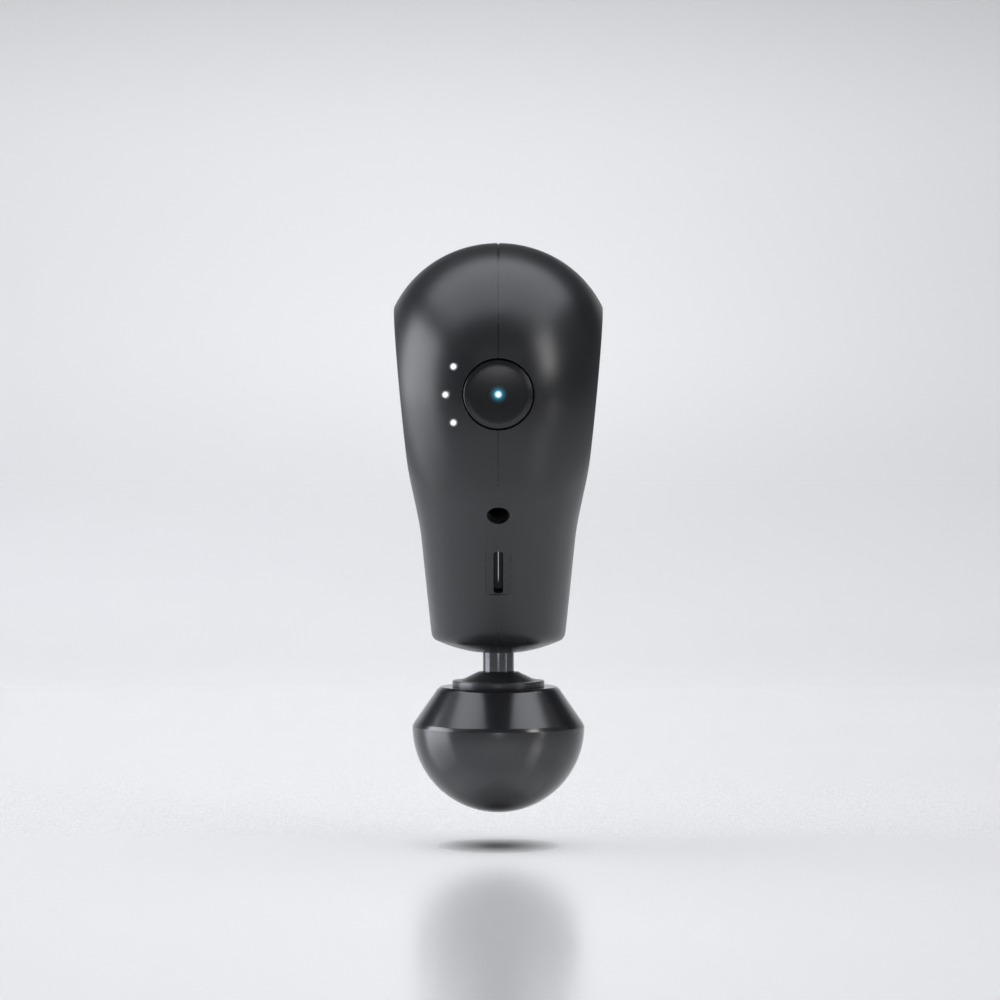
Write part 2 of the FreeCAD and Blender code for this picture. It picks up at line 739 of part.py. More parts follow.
def make_stator(level, front):
    """A ring with nine teeth, and a coil wound round each tooth."""
    teeth = 9
    tooth_half = 2.0
    tooth_tip = 9.6
    tooth_root = 15.8
    ring_inner = 15.4
    coil_wall = 1.3
    play = 0.05
    begin = front.number + 5.0
    reach = 15.0
    outer = dim("motor_radius") - dim("motor_wall") - dim("fit_gap")
    ring = tube(outer, ring_inner, reach, (0, front + 5.0, level), "y")
    tooth_solids = []
    coil_solids = []
    middle = Vector(0, 0, level.number)
    for index in range(teeth):
        turn = Rotation(Vector(0, 1, 0), 360.0 * index / teeth)
        tooth_solids.append(swung_block(turn, middle, tooth_half, (tooth_tip, tooth_root), begin, reach))
        wide = tooth_half + coil_wall
        span = (tooth_tip + 1.0, ring_inner - 0.5)
        outside = swung_block(turn, middle, wide, span, begin - 1.4, reach + 2.8)
        span = (tooth_tip + 0.4, tooth_root)
        hole = swung_block(turn, middle, tooth_half + play, span, begin - 0.1, reach + 0.2)
        coil_solids.append(cut(outside, hole))
    node(fused(ring, *tooth_solids), "stator_core")
    node(group(*coil_solids), "stator_coils")


def swung_block(turn, middle, half, span, begin, reach):
    """A block that spans two distances from the motor axis, swung round that axis."""
    inner, outer = span
    block = doc.addObject("Part::Box", "Block")
    bind(block, Length=2 * half, Width=reach, Height=outer - inner)
    corner = Vector(-half, begin, inner)
    block.Placement = Placement(middle, turn).multiply(Placement(corner, Rotation()))
    return block


def make_rotor_and_crank():
    """What the motor turns: rotor, shaft, crank disc with its counterweight, and the pin."""
    level = dim("drive_level")
    front = dim("plate_back")
    core = tube(6.4, dim("axle_radius") + dim("fit_gap"), 14.0, (0, front + 5.5, level), "y")
    node(core, "rotor_core")
    magnets = tube(9.1, 6.42, 13.6, (0, front + 5.7, level), "y")
    node(magnets, "rotor_magnets")
    length = dim("motor_back") - dim("disc_front") - 0.2
    axle = cylinder(dim("axle_radius"), length, (0, dim("disc_front"), level), "y")
    node(axle, "motor_shaft")
    start = (0, dim("disc_front"), level)
    depth = dim("disc_back") - dim("disc_front")
    disc = cylinder(dim("disc_radius"), depth, start, "y")
    weight = cylinder(dim("weight_radius"), depth, start, "y")
    keep = box((-20, dim("disc_front"), level - 20), (20, dim("disc_back"), level - 1))
    heavy_side = doc.addObject("Part::MultiCommon", "HeavySide")
    heavy_side.Shapes = [weight, keep]
    pin_level = level + dim("throw")
    pin_start = (0, dim("disc_front"), pin_level)
    pin_hole = cylinder(dim("pin_radius") + dim("fit_gap"), depth, pin_start, "y")
    axle_hole = cylinder(dim("axle_radius") + dim("fit_gap"), depth, start, "y")
    node(cut(fused(disc, heavy_side), pin_hole, axle_hole), "crank_disc")
    tip = dim("roller_half") + 0.2
    end = -tip - 1.1
    neck = 1.5
    shoulder = 3.4
    seat = dim("disc_front") - 0.05
    pin = dim("pin_radius")
    corners = [
        (0, dim("disc_back")), (0, end), (neck, end), (neck, -tip), (pin, -tip), (pin, tip),
        (shoulder, tip), (shoulder, seat), (pin, seat), (pin, dim("disc_back")),
    ]
    node(turned("CrankPin", corners, (0, 0, pin_level), "y"), "crank_pin")
    corners = ring_profile(3.6, neck + 0.02, 0, 0.7)
    node(turned("PinClip", corners, (0, -tip - 0.8, pin_level), "y"), "pin_clip")
    roller_bore = dim("pin_radius") + 0.04
    corners = ring_profile(dim("roller_radius"), roller_bore, -dim("roller_half"), dim("roller_half"))
    node(turned("Roller", corners, (0, 0, pin_level), "y"), "pin_roller")


# ---------------------------------------------------------------- plunger and massage head
def make_plunger():
    """The slotted yoke that the roller drives, the shaft below it and its retaining ring."""
    pin_level = dim("drive_level") + dim("throw")
    wide = dim("yoke_half_width")
    tall = dim("yoke_half_height")
    deep = dim("yoke_half_depth")
    yoke = box((-wide, -deep, pin_level - tall), (wide, deep, pin_level + tall))
    corner_round = doc.addObject("Part::Fillet", "YokeCorners")
    corner_round.Base = yoke
    doc.recompute()
    corner_round.Edges = upright_edges(yoke, 4.0)
    boss = cylinder(7.0, 6.0, (0, 0, dim("shaft_shoulder")))
    slot_high = dim("slot_half_height")
    slot_mid = dim("slot_half_width") - slot_high
    slot = [
        box((-slot_mid, -deep, pin_level - slot_high), (slot_mid, deep, pin_level + slot_high)),
        cylinder(slot_high, deep * 2, (-slot_mid, -deep, pin_level), "y"),
        cylinder(slot_high, deep * 2, (slot_mid, -deep, pin_level), "y"),
    ]
    spigot_seat = (0, 0, dim("shaft_shoulder"))
    spigot_hole = cylinder(dim("spigot_radius") + dim("fit_gap"), 6.9, spigot_seat)
    node(cut(fused(corner_round, boss_within(boss, deep)), spigot_hole, *slot), "yoke")
    radius = dim("shaft_radius")
    foot = dim("shaft_foot")
    groove = dim("ring_groove")
    deep_radius = radius - 1.2
    corners = [
        (0, foot), (radius - 0.7, foot), (radius, foot + 0.7), (radius, groove - 0.7),
        (deep_radius, groove - 0.7), (deep_radius, groove + 0.7), (radius, groove + 0.7),
        (radius, dim("shaft_shoulder")), (dim("spigot_radius"), dim("shaft_shoulder")),
        (dim("spigot_radius"), dim("spigot_top")), (0, dim("spigot_top")),
    ]
    node(turned("Shaft", corners), "plunger_shaft")
    ring = doc.addObject("Part::Torus", "RetainingRing")
    section = 0.58
    bind(ring, Radius1=deep_radius + section + 0.02, Radius2=section)
    place(ring, (0, 0, groove))
    node(ring, "retaining_ring")


def boss_within(boss, deep):
    """The round boss under the yoke, kept between the yoke's two faces."""
    limit = box((-8, -deep, dim("shaft_shoulder")), (8, deep, dim("shaft_shoulder") + 6.0))
    kept = doc.addObject("Part::MultiCommon", "KeptBoss")
    kept.Shapes = [boss, limit]
    return kept


def upright_edges(thing, radius):
    """The edges of a block that run front to back, each with its fillet radius."""
    found = []
    for index, edge in enumerate(thing.Shape.Edges, 1):
        way = edge.tangentAt(edge.FirstParameter)
        if abs(way.y) > 0.9:
            found.append((index, radius, radius))
    return found


def make_massage_head():
    """The round foam head, and the moulded core that pushes onto the shaft."""
    bore = dim("shaft_radius") + dim("socket_play")
    foot = dim("plug_foot")
    collar = dim("flange_top")
    rim = dim("flange_radius")
    plug = dim("plug_radius")
    top = dim("head_top")
    peak = dim("collar_top")
    floor = foot + 3.6
    corners = [
        (0, foot), (plug, foot), (plug, top), (rim, top), (rim, collar - 0.25),
        (rim - 0.25, collar), (dim("collar_foot"), collar), (dim("collar_neck"), peak),
        (bore, peak), (bore, floor), (0, floor),
    ]
    node(turned("HeadCore", corners), "head_core")
    ball = dim("ball_radius")
    neck = dim("neck_radius")
    pocket = plug + dim("fit_gap")
    corners = [
        (0, 0), (ball, ball), (dim("flank_radius"), dim("flank_start")),
        (neck, dim("neck_level")), (neck - 0.9, top), (pocket, top), (pocket, foot - 0.1),
        (0, foot - 0.1),
    ]
    node(turned("HeadBall", corners, arcs={0: ((0, ball), ball)}), "head_ball")


# ---------------------------------------------------------------- button, switch and lights
def make_power_button():
    """The round button with its sloping ring and dished disc, its lens, and the switch behind."""
    level = dim("corner_level")
    rim = dim("button_rim")
    outer = dim("button_radius")
    disc = dim("button_disc")
    lens = dim("lens_radius") + dim("fit_gap")
    dish = dim("button_dish")
    # heights are measured inwards from the rim
    skirt = 7.6
    stem_seat = 2.2
    corners = [
        (lens, dish), (disc, 0.05), (disc + 0.15, 0), (outer - 0.2, 0.5), (outer, 0.7),
        (outer, 3.6), (outer + 0.8, 3.6), (outer + 0.8, 4.3), (skirt, 4.3), (skirt, 2.0),
        (stem_seat, 2.0), (stem_seat, 3.8), (lens, 3.8),
    ]
    cap = turned("ButtonCap", corners, (0, -rim, level), "y")
    node(cap, "power_button_cap")
    pipe = cylinder(dim("lens_radius"), 3.7 - dish, (0, dish - rim, level), "y")
    node(pipe, "button_lens")
    stem_start = 3.9 - rim
    stem = cylinder(1.4, 2.3, (0, stem_start, level), "y")
    node(stem, "switch_stem")
    body = box((-3.0, stem_start + 1.5, level - 3.0), (3.0, stem_start + 4.9, level + 3.0))
    well = cylinder(1.5, 1.6, (0, stem_start + 1.5, level), "y")
    node(cut(body, well), "switch_body")
    board_front = stem_start + 4.9
    board = box((-15.0, board_front, level - 11.0), (12.0, board_front + 1.2, level + 11.0))
    node(board, "button_board")
    return board_front


def make_speed_lights(board_front):
    """One clear moulding, its three pins flush with the casing, and a light behind each."""
    level = num("corner_level")
    back = board_front.number - 1.6
    pins = []
    for across, up in speed_light_spots():
        tip = Vector(across, -75, up)
        pins.append(round_bar(num("light_radius"), tip, Vector(across, back - 0.5, up)))
    spread = num("light_step") + 6.0
    bar_depth = 1.2
    bar_half = 1.0
    start = Vector(0, back - bar_depth, level)
    middle = num("light_circle") - 0.1
    outer = Part.makeCylinder(middle + bar_half, bar_depth, start, Vector(0, 1, 0))
    inner = Part.makeCylinder(middle - bar_half, bar_depth, start, Vector(0, 1, 0))
    reach = 20.0
    wedge_points = [start]
    for degrees in (180 - spread, 180 + spread):
        angle = math.radians(degrees)
        wedge_points.append(start + Vector(math.cos(angle), 0, math.sin(angle)) * reach)
    wedge_points.append(start)
    wedge = Part.Face(Part.makePolygon(wedge_points)).extrude(Vector(0, bar_depth, 0))
    bar = outer.cut(inner).common(wedge)
    trimmed = [pin.common(OUTER) for pin in pins]
    feature(bar.fuse(trimmed).removeSplitter().Solids[0], "speed_light_guide")
    lamps = []
    for across, up in speed_light_spots():
        low = (across - 0.9, board_front - 1.4, up - 0.9)
        high = (across + 0.9, board_front, up + 0.9)
        lamps.append(box(low, high))
    node(group(*lamps), "speed_leds")


# ---------------------------------------------------------------- inlet, window and boards
def on_face(thing, level):
    """Place a piece that was made along +Z so that it stands inwards on the front face."""
    spot = face_point(level)
    thing.Placement = Placement(spot, Rotation(Vector(1, 0, 0), num("face_tilt") - 90))
    return thing


def make_inlet():
    """The charging socket behind its hole, and the contact pin in its middle."""
    bore = 2.5
    collar = 2.8
    outer = 4.4
    corners = [
        (bore, 1.9), (collar, 1.9), (collar, 2.95), (outer, 2.95), (outer, 12.5), (0, 12.5),
        (0, 11.2), (bore, 11.2),
    ]
    socket = turned("Socket", corners)
    node(on_face(cut(socket, cylinder(1.02, 2.0, (0, 0, 11.0))), num("inlet_level")), "charging_socket")
    corners = [(0, 3.8), (0.6, 3.8), (1.0, 4.2), (1.0, 12.4), (0, 12.4)]
    pin = turned("SocketPin", corners)
    node(on_face(group(pin), num("inlet_level")), "charging_pin")


def make_indicator():
    """The smoked window in the front face, four lamps behind it, and their small board."""
    level = num("window_level")
    gap = num("fit_gap")
    shallow = num("window_sunk")
    width = num("window_width") - 2 * gap
    length = num("window_length") - 2 * gap
    stem = face_slot(width, length, shallow, 3.0, 0.78, level)
    flange = face_slot(5.6, 19.0, 2.95, 3.7, 1.0, level)
    feature(stem.fuse(flange).removeSplitter().Solids[0], "indicator_window")
    lamps = []
    for step in range(4):
        along = (step - 1.5) * 4.0
        lamps.append(box((-1.0, along - 1.0, 4.4), (1.0, along + 1.0, 5.6)))
    node(on_face(group(*lamps), level), "indicator_leds")
    board = box((-3.2, -9.5, 5.6), (3.2, 9.5, 6.6))
    node(on_face(group(board), level), "indicator_board")


MAIN_BOARD_FRONT = -38.0
MAIN_BOARD_BACK = -36.6
PLUG_DEPTH = 3.0


def make_main_board():
    """The motor control board with its transistors, capacitor and plugs."""
    low = 84.0
    high = 108.0
    half = 16.0
    corners = [(-half, low), (half, low), (half, high), (-half, high)]
    thickness = MAIN_BOARD_BACK - MAIN_BOARD_FRONT
    board = plate("MainBoard", corners, thickness, (0, MAIN_BOARD_BACK, 0))
    holes = []
    for across in (-13.5, 13.5):
        holes.append(cylinder(1.3, 3.0, (across, MAIN_BOARD_FRONT - 1, 106.0), "y"))
    node(cut(board, *holes), "control_board")
    chips = []
    for column in range(3):
        for row in range(2):
            left = -10.0 + 5.4 * column
            foot = 86.5 + 6.6 * row
            top = (left + 4.0, MAIN_BOARD_BACK + 1.1, foot + 5.0)
            chips.append(box((left, MAIN_BOARD_BACK, foot), top))
    node(group(*chips), "power_transistors")
    can = cylinder(4.0, 11.0, (10.6, MAIN_BOARD_BACK + 4.05, 86.5))
    node(can, "smoothing_capacitor")
    plugs = []
    for left, width in ((-13.0, 7.4), (7.0, 6.0)):
        high = (left + width, MAIN_BOARD_BACK + PLUG_DEPTH, 105.0)
        plugs.append(box((left, MAIN_BOARD_BACK, 101.5), high))
    node(group(*plugs), "board_plugs")


# ---------------------------------------------------------------- battery
def cell_spots():
    """The three cells, as (across, height)."""
    spread = dim("cell_spread")
    upper = dim("upper_cells")
    return [(-spread, upper), (spread, upper), (as_size(0), dim("lower_cell"))]


def make_battery():
    """Three cells that lie front to back under the crown, their cradle, links and board."""
    half = dim("cell_length") * 0.5
    upper = dim("upper_cells")
    lower = dim("lower_cell")
    cells = []
    for across, up in cell_spots():
        cells.append(cylinder(dim("cell_radius"), dim("cell_length"), (across, -half, up), "y"))
    node(group(*cells), "battery_cells")
    ribs = []
    rib_end = 23.0
    rib_wide = 22.0
    rib = 3.0
    for begin in (-rib_end, rib_end - rib):
        corner = (rib_wide, begin + rib, upper - 4.0)
        ribs.append(box((-rib_wide, begin, lower - 4.0), corner))
    bars = []
    for across in (-13.4, 11.4):
        low = lower + 1.0
        bars.append(box((across, -rib_end, low), (across + 2.0, rib_end, low + 3.0)))
    pockets = []
    for across, up in cell_spots():
        pockets.append(cylinder(dim("cell_radius") + 0.05, 60.0, (across, -30.0, up), "y"))
    node(cut(fused(*ribs, *bars), *pockets), "battery_cradle")
    links = []
    spread = dim("cell_spread")
    tab = 3.0
    strip = 0.3
    high = (spread + tab, half + strip, upper + tab)
    links.append(box((-spread - tab, half, upper - tab), high))
    high = (spread + tab, -half, upper + tab)
    links.append(box((-tab, -half - strip, lower - tab), high))
    node(group(*links), "cell_links")
    board = box((19.3, -17.0, 114.0), (20.5, 17.0, 129.0))
    node(board, "battery_board")


# ---------------------------------------------------------------- inner leads
def lead_path(points):
    """Straight runs joined by tangent arcs, each as large as its two runs allow."""
    spots = [Vector(*point) for point in points]
    edges = []
    here = spots[0]
    for before, corner, after in zip(spots, spots[1:], spots[2:]):
        way_in = corner - before
        way_out = after - corner
        turn = way_in.getAngle(way_out)
        trim = 0.45 * min(way_in.Length, way_out.Length)
        start = corner - way_in.normalize() * trim
        stop = corner + way_out.normalize() * trim
        inside = (way_out - way_in).normalize()
        radius = trim / math.tan(turn / 2)
        centre = corner + inside * (radius / math.cos(turn / 2))
        middle = centre - inside * radius
        edges.append(Part.LineSegment(here, start).toShape())
        edges.append(Part.Arc(start, middle, stop).toShape())
        here = stop
    edges.append(Part.LineSegment(here, spots[-1]).toShape())
    return Part.Wire(edges)


def lead(points, radius):
    """A round lead along a path, with its volume compared with section times length."""
    path = lead_path(points)
    way = (Vector(*points[1]) - Vector(*points[0])).normalize()
    circle = Part.makeCircle(radius, Vector(*points[0]), way)
    solid = path.makePipeShell([Part.Wire(circle)], True, False)
    expected = math.pi * radius ** 2 * path.Length
    if abs(solid.Volume - expected) > 0.02 * expected:
        raise RuntimeError(f"a lead has volume {solid.Volume:.2f}, not {expected:.2f}")
    return solid


def make_leads():
    """The leads between motor, battery, inlet, button, indicator and the control board."""
    gap = 0.05
    board_back = MAIN_BOARD_BACK + PLUG_DEPTH + gap
    board_front = MAIN_BOARD_FRONT - gap
    families = ("motor", "battery", "inlet", "button", "indicator")
    leads = {f"{family}_leads": [] for family in families}
    for step in range(3):
        across = -11.5 + 2.2 * step
        rise = num("drive_level") + math.sqrt(num("motor_radius") ** 2 - across ** 2) + 0.6
        route = [
            (across, 30.0, rise), (across, 30.0, 112.4), (across, 14.0, 112.5), (across, -14.0, 112.3),
            (across, -29.0, 112.0), (across, -30.0, 103.2), (across, board_back, 103.2),
        ]
        leads["motor_leads"].append(lead(route, 0.6))
    for step in range(2):
        across = 9.0 + 2.2 * step
        level = 115.5 + 2.2 * step
        route = [
            (18.4, -12.0, level), (18.4, -22.0, level - 0.4), (15.0, -30.0, level - 1.5),
            (across, -30.5, 109.0), (across, -30.0, 103.2), (across, board_back, 103.2),
        ]
        leads["battery_leads"].append(lead(route, 0.7))
    socket_back = face_point(num("inlet_level")) + FACE_IN * (12.5 + gap)
    for across in (-1.5, 1.5):
        start = (across, socket_back.y, socket_back.z)
        beyond = (across, socket_back.y + 2.4, socket_back.z + 2.3)
        route = [start, beyond, (across, -42.4, 98.0), (across, board_front, 98.4)]
        leads["inlet_leads"].append(lead(route, 0.6))
    button_back = -num("button_rim") + 3.9 + 4.9 + 1.2 + gap
    for step in range(4):
        across = -2.4 + 1.6 * step
        route = [
            (across, button_back, 106.0), (across, -50.5, 105.8), (across, -45.0, 103.6),
            (across, board_front, 103.6),
        ]
        leads["button_leads"].append(lead(route, 0.4))
    board_spot = face_point(num("window_level")) + FACE_IN * (6.6 + gap)
    for across in (-1.2, 1.2):
        start = (across, board_spot.y, board_spot.z)
        beyond = (across, board_spot.y + 3.4, board_spot.z + 3.2)
        end = (across, MAIN_BOARD_BACK + gap, 85.4)
        route = [start, beyond, (across, -31.2, 84.6), end]
        leads["indicator_leads"].append(lead(route, 0.4))
    for label, solids in leads.items():
        feature(Part.makeCompound(solids), label)


# ---------------------------------------------------------------- build, check and write
make_casing()
make_covers()
make_casing_screws()
make_nose()
make_drive_frame()
make_guide_and_mounts()
make_motor()
make_rotor_and_crank()
make_plunger()
make_massage_head()
make_speed_lights(make_power_button())
make_inlet()
make_indicator()
make_main_board()
make_battery()
make_leads()
doc.recompute()


def check_document():
    """Stop if any object failed to build, or if a sub-part's shape is empty or not valid."""
    for thing in doc.Objects:
        if "Invalid" in thing.State or "Error" in thing.State:
            raise RuntimeError(f"{thing.Label} failed: {thing.State}")
    for thing in nodes:
        if thing.Shape.isNull() or not thing.Shape.isValid() or not thing.Shape.Solids:
            raise RuntimeError(f"{thing.Label} has no valid shape")


check_document()
os.makedirs("parts", exist_ok=True)
for thing in nodes:
    thing.Shape.exportStep(f"parts/{thing.Label}.step")
    print(f"{thing.Label}: {len(thing.Shape.Solids)} solid(s), {thing.Shape.Volume / 1000:.2f} cm3")
print(len(nodes), "sub-parts")
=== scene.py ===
# %% [markdown]
# # A compact triangular massage gun
#
# The tool is a rounded triangle seen from its side, and a narrow crowned band seen from its
# front. A steel shaft comes out of the nose and carries a round foam head. This lesson loads
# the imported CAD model, keeps its inner parts, rebuilds the visible parts as fine surfaces, and
# gives every part a procedural finish. All lengths in the cells are millimetres.

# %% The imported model
import json
import math

import bmesh
import bpy
import numpy as np
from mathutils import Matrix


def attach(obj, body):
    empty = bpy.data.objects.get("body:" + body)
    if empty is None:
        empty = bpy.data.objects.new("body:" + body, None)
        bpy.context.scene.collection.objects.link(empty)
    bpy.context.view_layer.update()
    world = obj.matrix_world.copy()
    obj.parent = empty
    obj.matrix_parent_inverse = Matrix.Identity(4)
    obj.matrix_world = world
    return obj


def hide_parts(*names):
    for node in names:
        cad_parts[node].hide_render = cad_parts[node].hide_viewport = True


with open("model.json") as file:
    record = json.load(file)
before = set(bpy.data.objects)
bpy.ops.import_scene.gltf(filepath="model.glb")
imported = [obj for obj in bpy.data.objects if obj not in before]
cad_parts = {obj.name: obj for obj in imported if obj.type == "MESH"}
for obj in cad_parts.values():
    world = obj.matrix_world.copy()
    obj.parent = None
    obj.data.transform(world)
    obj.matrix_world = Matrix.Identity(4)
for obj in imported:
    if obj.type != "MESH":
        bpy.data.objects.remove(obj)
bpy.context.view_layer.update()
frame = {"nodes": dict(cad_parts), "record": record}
MM = 0.001

# %% [markdown]
# ## From a grid of points to a mesh
#
# Every new piece is a rectangular grid of points, so one helper makes all the faces. A row
# whose points all meet closes the shape like the pole of a globe. Merging the doubles there and
# recalculating the normals leaves a closed shape that faces outwards.


# %% Grid helpers
def grid_faces(rows, columns):
    """Quads between neighbouring rows; the last column joins the first one."""
    start = np.arange(rows - 1)[:, None] * columns
    here = np.arange(columns)[None, :]
    beside = (here + 1) % columns
    quads = [start + here, start + beside, start + beside + columns, start + here + columns]
    return np.stack(quads, axis=-1).reshape(-1, 4)


def mesh_from(points, name, crisp=32.0):
    """A closed mesh from a grid of points in millimetres, shaded smooth up to the crisp angle."""
    rows, columns, _ = points.shape
    mesh = bpy.data.meshes.new(name)
    mesh.from_pydata((points.reshape(-1, 3) * MM).tolist(), [], grid_faces(rows, columns).tolist())
    work = bmesh.new()
    work.from_mesh(mesh)
    bmesh.ops.remove_doubles(work, verts=work.verts, dist=2e-6)
    bmesh.ops.dissolve_degenerate(work, edges=work.edges, dist=1e-7)
    bmesh.ops.recalc_face_normals(work, faces=work.faces)
    work.to_mesh(mesh)
    work.free()
    shade(mesh, crisp)
    return mesh


def shade(mesh, crisp):
    """Smooth shading, with the edges above the crisp angle kept sharp."""
    mesh.shade_smooth()
    mesh.set_sharp_from_angle(angle=math.radians(crisp))


def linked(name, data):
    """A new object for some data, linked to the scene."""
    made = bpy.data.objects.new(name, data)
    bpy.context.scene.collection.objects.link(made)
    return made


def add_piece(mesh, body, node, slot):
    """An object for a mesh that rides on a body and stands for a CAD node, in its slot's finish."""
    piece = linked(mesh.name, mesh)
    mesh.materials.clear()
    mesh.materials.append(finishes[slot])
    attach(piece, body)
    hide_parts(node)
    print(f"{mesh.name}: {len(mesh.polygons)} faces")


# %% [markdown]
# ## Turned parts
#
# The shaft, the head, the button and the rings are all turned shapes: one profile swung round
# an axis. A real edge is never perfectly sharp, so each corner of the profile is replaced by a
# small arc, which catches a thin line of light.


# %% Profiles with eased corners
def eased(corners, radii, count=6):
    """A profile with its corners rounded.

    At a corner, the arc starts and ends at radius x tan(half the turn) from the corner, and its
    points come from the circle's centre on the bisector. A radius of 0 keeps the corner.
    """
    corners = np.asarray(corners, dtype=float)
    profile = [corners[:1]]
    for before, corner, after, radius in zip(corners, corners[1:], corners[2:], radii):
        if radius == 0:
            profile.append(corner[None])
            continue
        inward = (before - corner) / np.linalg.norm(before - corner)
        onward = (after - corner) / np.linalg.norm(after - corner)
        half = math.acos(float(np.clip(inward @ onward, -1, 1))) / 2
        bisector = (inward + onward) / np.linalg.norm(inward + onward)
        centre = corner + bisector * radius / math.sin(half)
        start = corner + inward * radius / math.tan(half) - centre
        end = corner + onward * radius / math.tan(half) - centre
        share = np.linspace(0, 1, count)[:, None]
        spread = math.pi - 2 * half
        arc = (np.sin((1 - share) * spread) * start + np.sin(share * spread) * end) / math.sin(spread)
        profile.append(centre + arc)
    profile.append(corners[-1:])
    return np.concatenate(profile)


def swung(profile, centre=(0, 0, 0), along="z", turns=160):
    """A profile of (radius, height) swung round an axis: (r cos t, r sin t, h), or with h along Y."""
    turn = stops(turns, 0, 2 * math.pi)[None, :]
    radius = profile[:, :1]
    height = profile[:, 1:] + 0 * turn
    flat = [radius * np.cos(turn), radius * np.sin(turn)]
    parts = flat + [height] if along == "z" else [flat[0], height, flat[1]]
    return np.stack(parts, axis=-1) + np.asarray(centre, dtype=float)


def turned_piece(profile, name, body, node, slot, **swing):
    """A profile swung round its axis and put in the place of a CAD node."""
    add_piece(mesh_from(swung(profile, **swing), name, crisp=50), body, node, slot)


def stops(count, start=0.0, end=1.0):
    """Evenly spaced stops that leave out the end."""
    return np.linspace(start, end, count, endpoint=False)


def arc_points(centre, radius, start, end, count):
    """Points on a circle arc between two angles in degrees."""
    turn = np.radians(np.linspace(start, end, count))
    return np.stack([centre[0] + radius * np.cos(turn), centre[1] + radius * np.sin(turn)], axis=-1)


# %% [markdown]
# ## Finishes: the shared effects
#
# A moulded plastic is never one flat colour. It has a fine spark-eroded grain, it is handled
# and so slightly shinier in places, its edges are polished by wear, and a little dust settles
# on what faces up. Each effect is a node group that puts out a mask or a height, and each
# material mixes them with its own strengths.


# %% Node helpers
def feed(tree, sockets, values):
    """Sockets fed by name or number: another socket is linked, anything else is set."""
    for key, value in values.items():
        if isinstance(value, bpy.types.NodeSocket):
            tree.links.new(value, sockets[key])
        else:
            sockets[key].default_value = value


def spaced(values):
    """The same values, with spaces in their names where Python needs underscores."""
    return {key.replace("_", " "): value for key, value in values.items()}


def add(tree, kind, feeds=None, **settings):
    """A node with its settings and with what feeds its inputs."""
    made = tree.nodes.new(kind)
    for key, value in settings.items():
        setattr(made, key, value)
    feed(tree, made.inputs, feeds or {})
    return made


def new_group(name, outputs, vectors=("Position",), **numbers):
    """A shader node group with vectors and numbers in, and numbers out."""
    tree = bpy.data.node_groups.new(name, "ShaderNodeTree")
    for label in vectors:
        tree.interface.new_socket(label, in_out="INPUT", socket_type="NodeSocketVector")
    for label, value in spaced(numbers).items():
        tree.interface.new_socket(label, in_out="INPUT", socket_type="NodeSocketFloat").default_value = value
    for label in outputs:
        tree.interface.new_socket(label, in_out="OUTPUT", socket_type="NodeSocketFloat")
    return tree, tree.nodes.new("NodeGroupInput").outputs, tree.nodes.new("NodeGroupOutput").inputs


def placed(tree, group, position, **values):
    """A node group placed in a material, as its outputs."""
    made = tree.nodes.new("ShaderNodeGroup")
    made.node_tree = group
    feed(tree, made.inputs, {"Position": position, **spaced(values)})
    return made.outputs


def maths(tree, operation, first, second=0.5, clamp=False):
    """The result socket of a Math node."""
    return add(tree, "ShaderNodeMath", {0: first, 1: second}, operation=operation, use_clamp=clamp).outputs[0]


def times(tree, first, second):
    """Two values multiplied."""
    return maths(tree, "MULTIPLY", first, second)


def times_plus(tree, first, factor, extra):
    """A value multiplied by a factor, plus an extra."""
    return add(tree, "ShaderNodeMath", {0: first, 1: factor, 2: extra}, operation="MULTIPLY_ADD").outputs[0]


def blended(tree, share, first, second):
    """Two colours mixed by a share."""
    return add(tree, "ShaderNodeMix", {0: share, 6: first, 7: second}, data_type="RGBA").outputs[2]


def split(tree, vector, axis):
    """One component of a vector."""
    return add(tree, "ShaderNodeSeparateXYZ", {"Vector": vector}).outputs[axis]


def noise(tree, position, scale, detail, distortion=0.0):
    """Layered noise, between 0 and 1."""
    feeds = {"Vector": position, "Scale": scale, "Detail": detail, "Distortion": distortion}
    return add(tree, "ShaderNodeTexNoise", feeds).outputs["Fac"]


def ranged(tree, value, low, high, to_low=0.0, to_high=1.0, smooth=True):
    """A value moved from one range to another, eased at both ends."""
    feeds = {"Value": value, "From Min": low, "From Max": high, "To Min": to_low, "To Max": to_high}
    kind = "SMOOTHSTEP" if smooth else "LINEAR"
    return add(tree, "ShaderNodeMapRange", feeds, interpolation_type=kind).outputs["Result"]


# %% [markdown]
# ## Six effects in groups
#
# Each group only puts out masks and heights, so it can feed a colour in one material and a
# roughness in the next.

# %% Shared effects
# moulded grain: small rounded cells, about Scale of them to a metre, roughened by finer noise
grain, start, end = new_group("moulded grain", ["Height", "Speckle"], Scale=3000.0)
feeds = {"Vector": start["Position"], "Scale": start["Scale"], "Smoothness": 0.6}
cells = add(grain, "ShaderNodeTexVoronoi", feeds, feature="SMOOTH_F1")
finer = noise(grain, start["Position"], times(grain, start["Scale"], 2.3), 2.0)
height = maths(grain, "ADD", cells.outputs["Distance"], times(grain, finer, 0.5))
feed(grain, end, {"Height": height, "Speckle": ranged(grain, finer, 0.35, 0.7)})

# handled patches: slow, stretched clouds with a few finer wipes in them
patches, start, end = new_group("handled patches", ["Mask"], Scale=30.0)
slow = noise(patches, start["Position"], start["Scale"], 3.0, distortion=0.8)
wipes = noise(patches, start["Position"], times(patches, start["Scale"], 7.0), 4.0)
feed(patches, end, {"Mask": ranged(patches, times_plus(patches, wipes, 0.35, slow), 0.45, 0.95)})

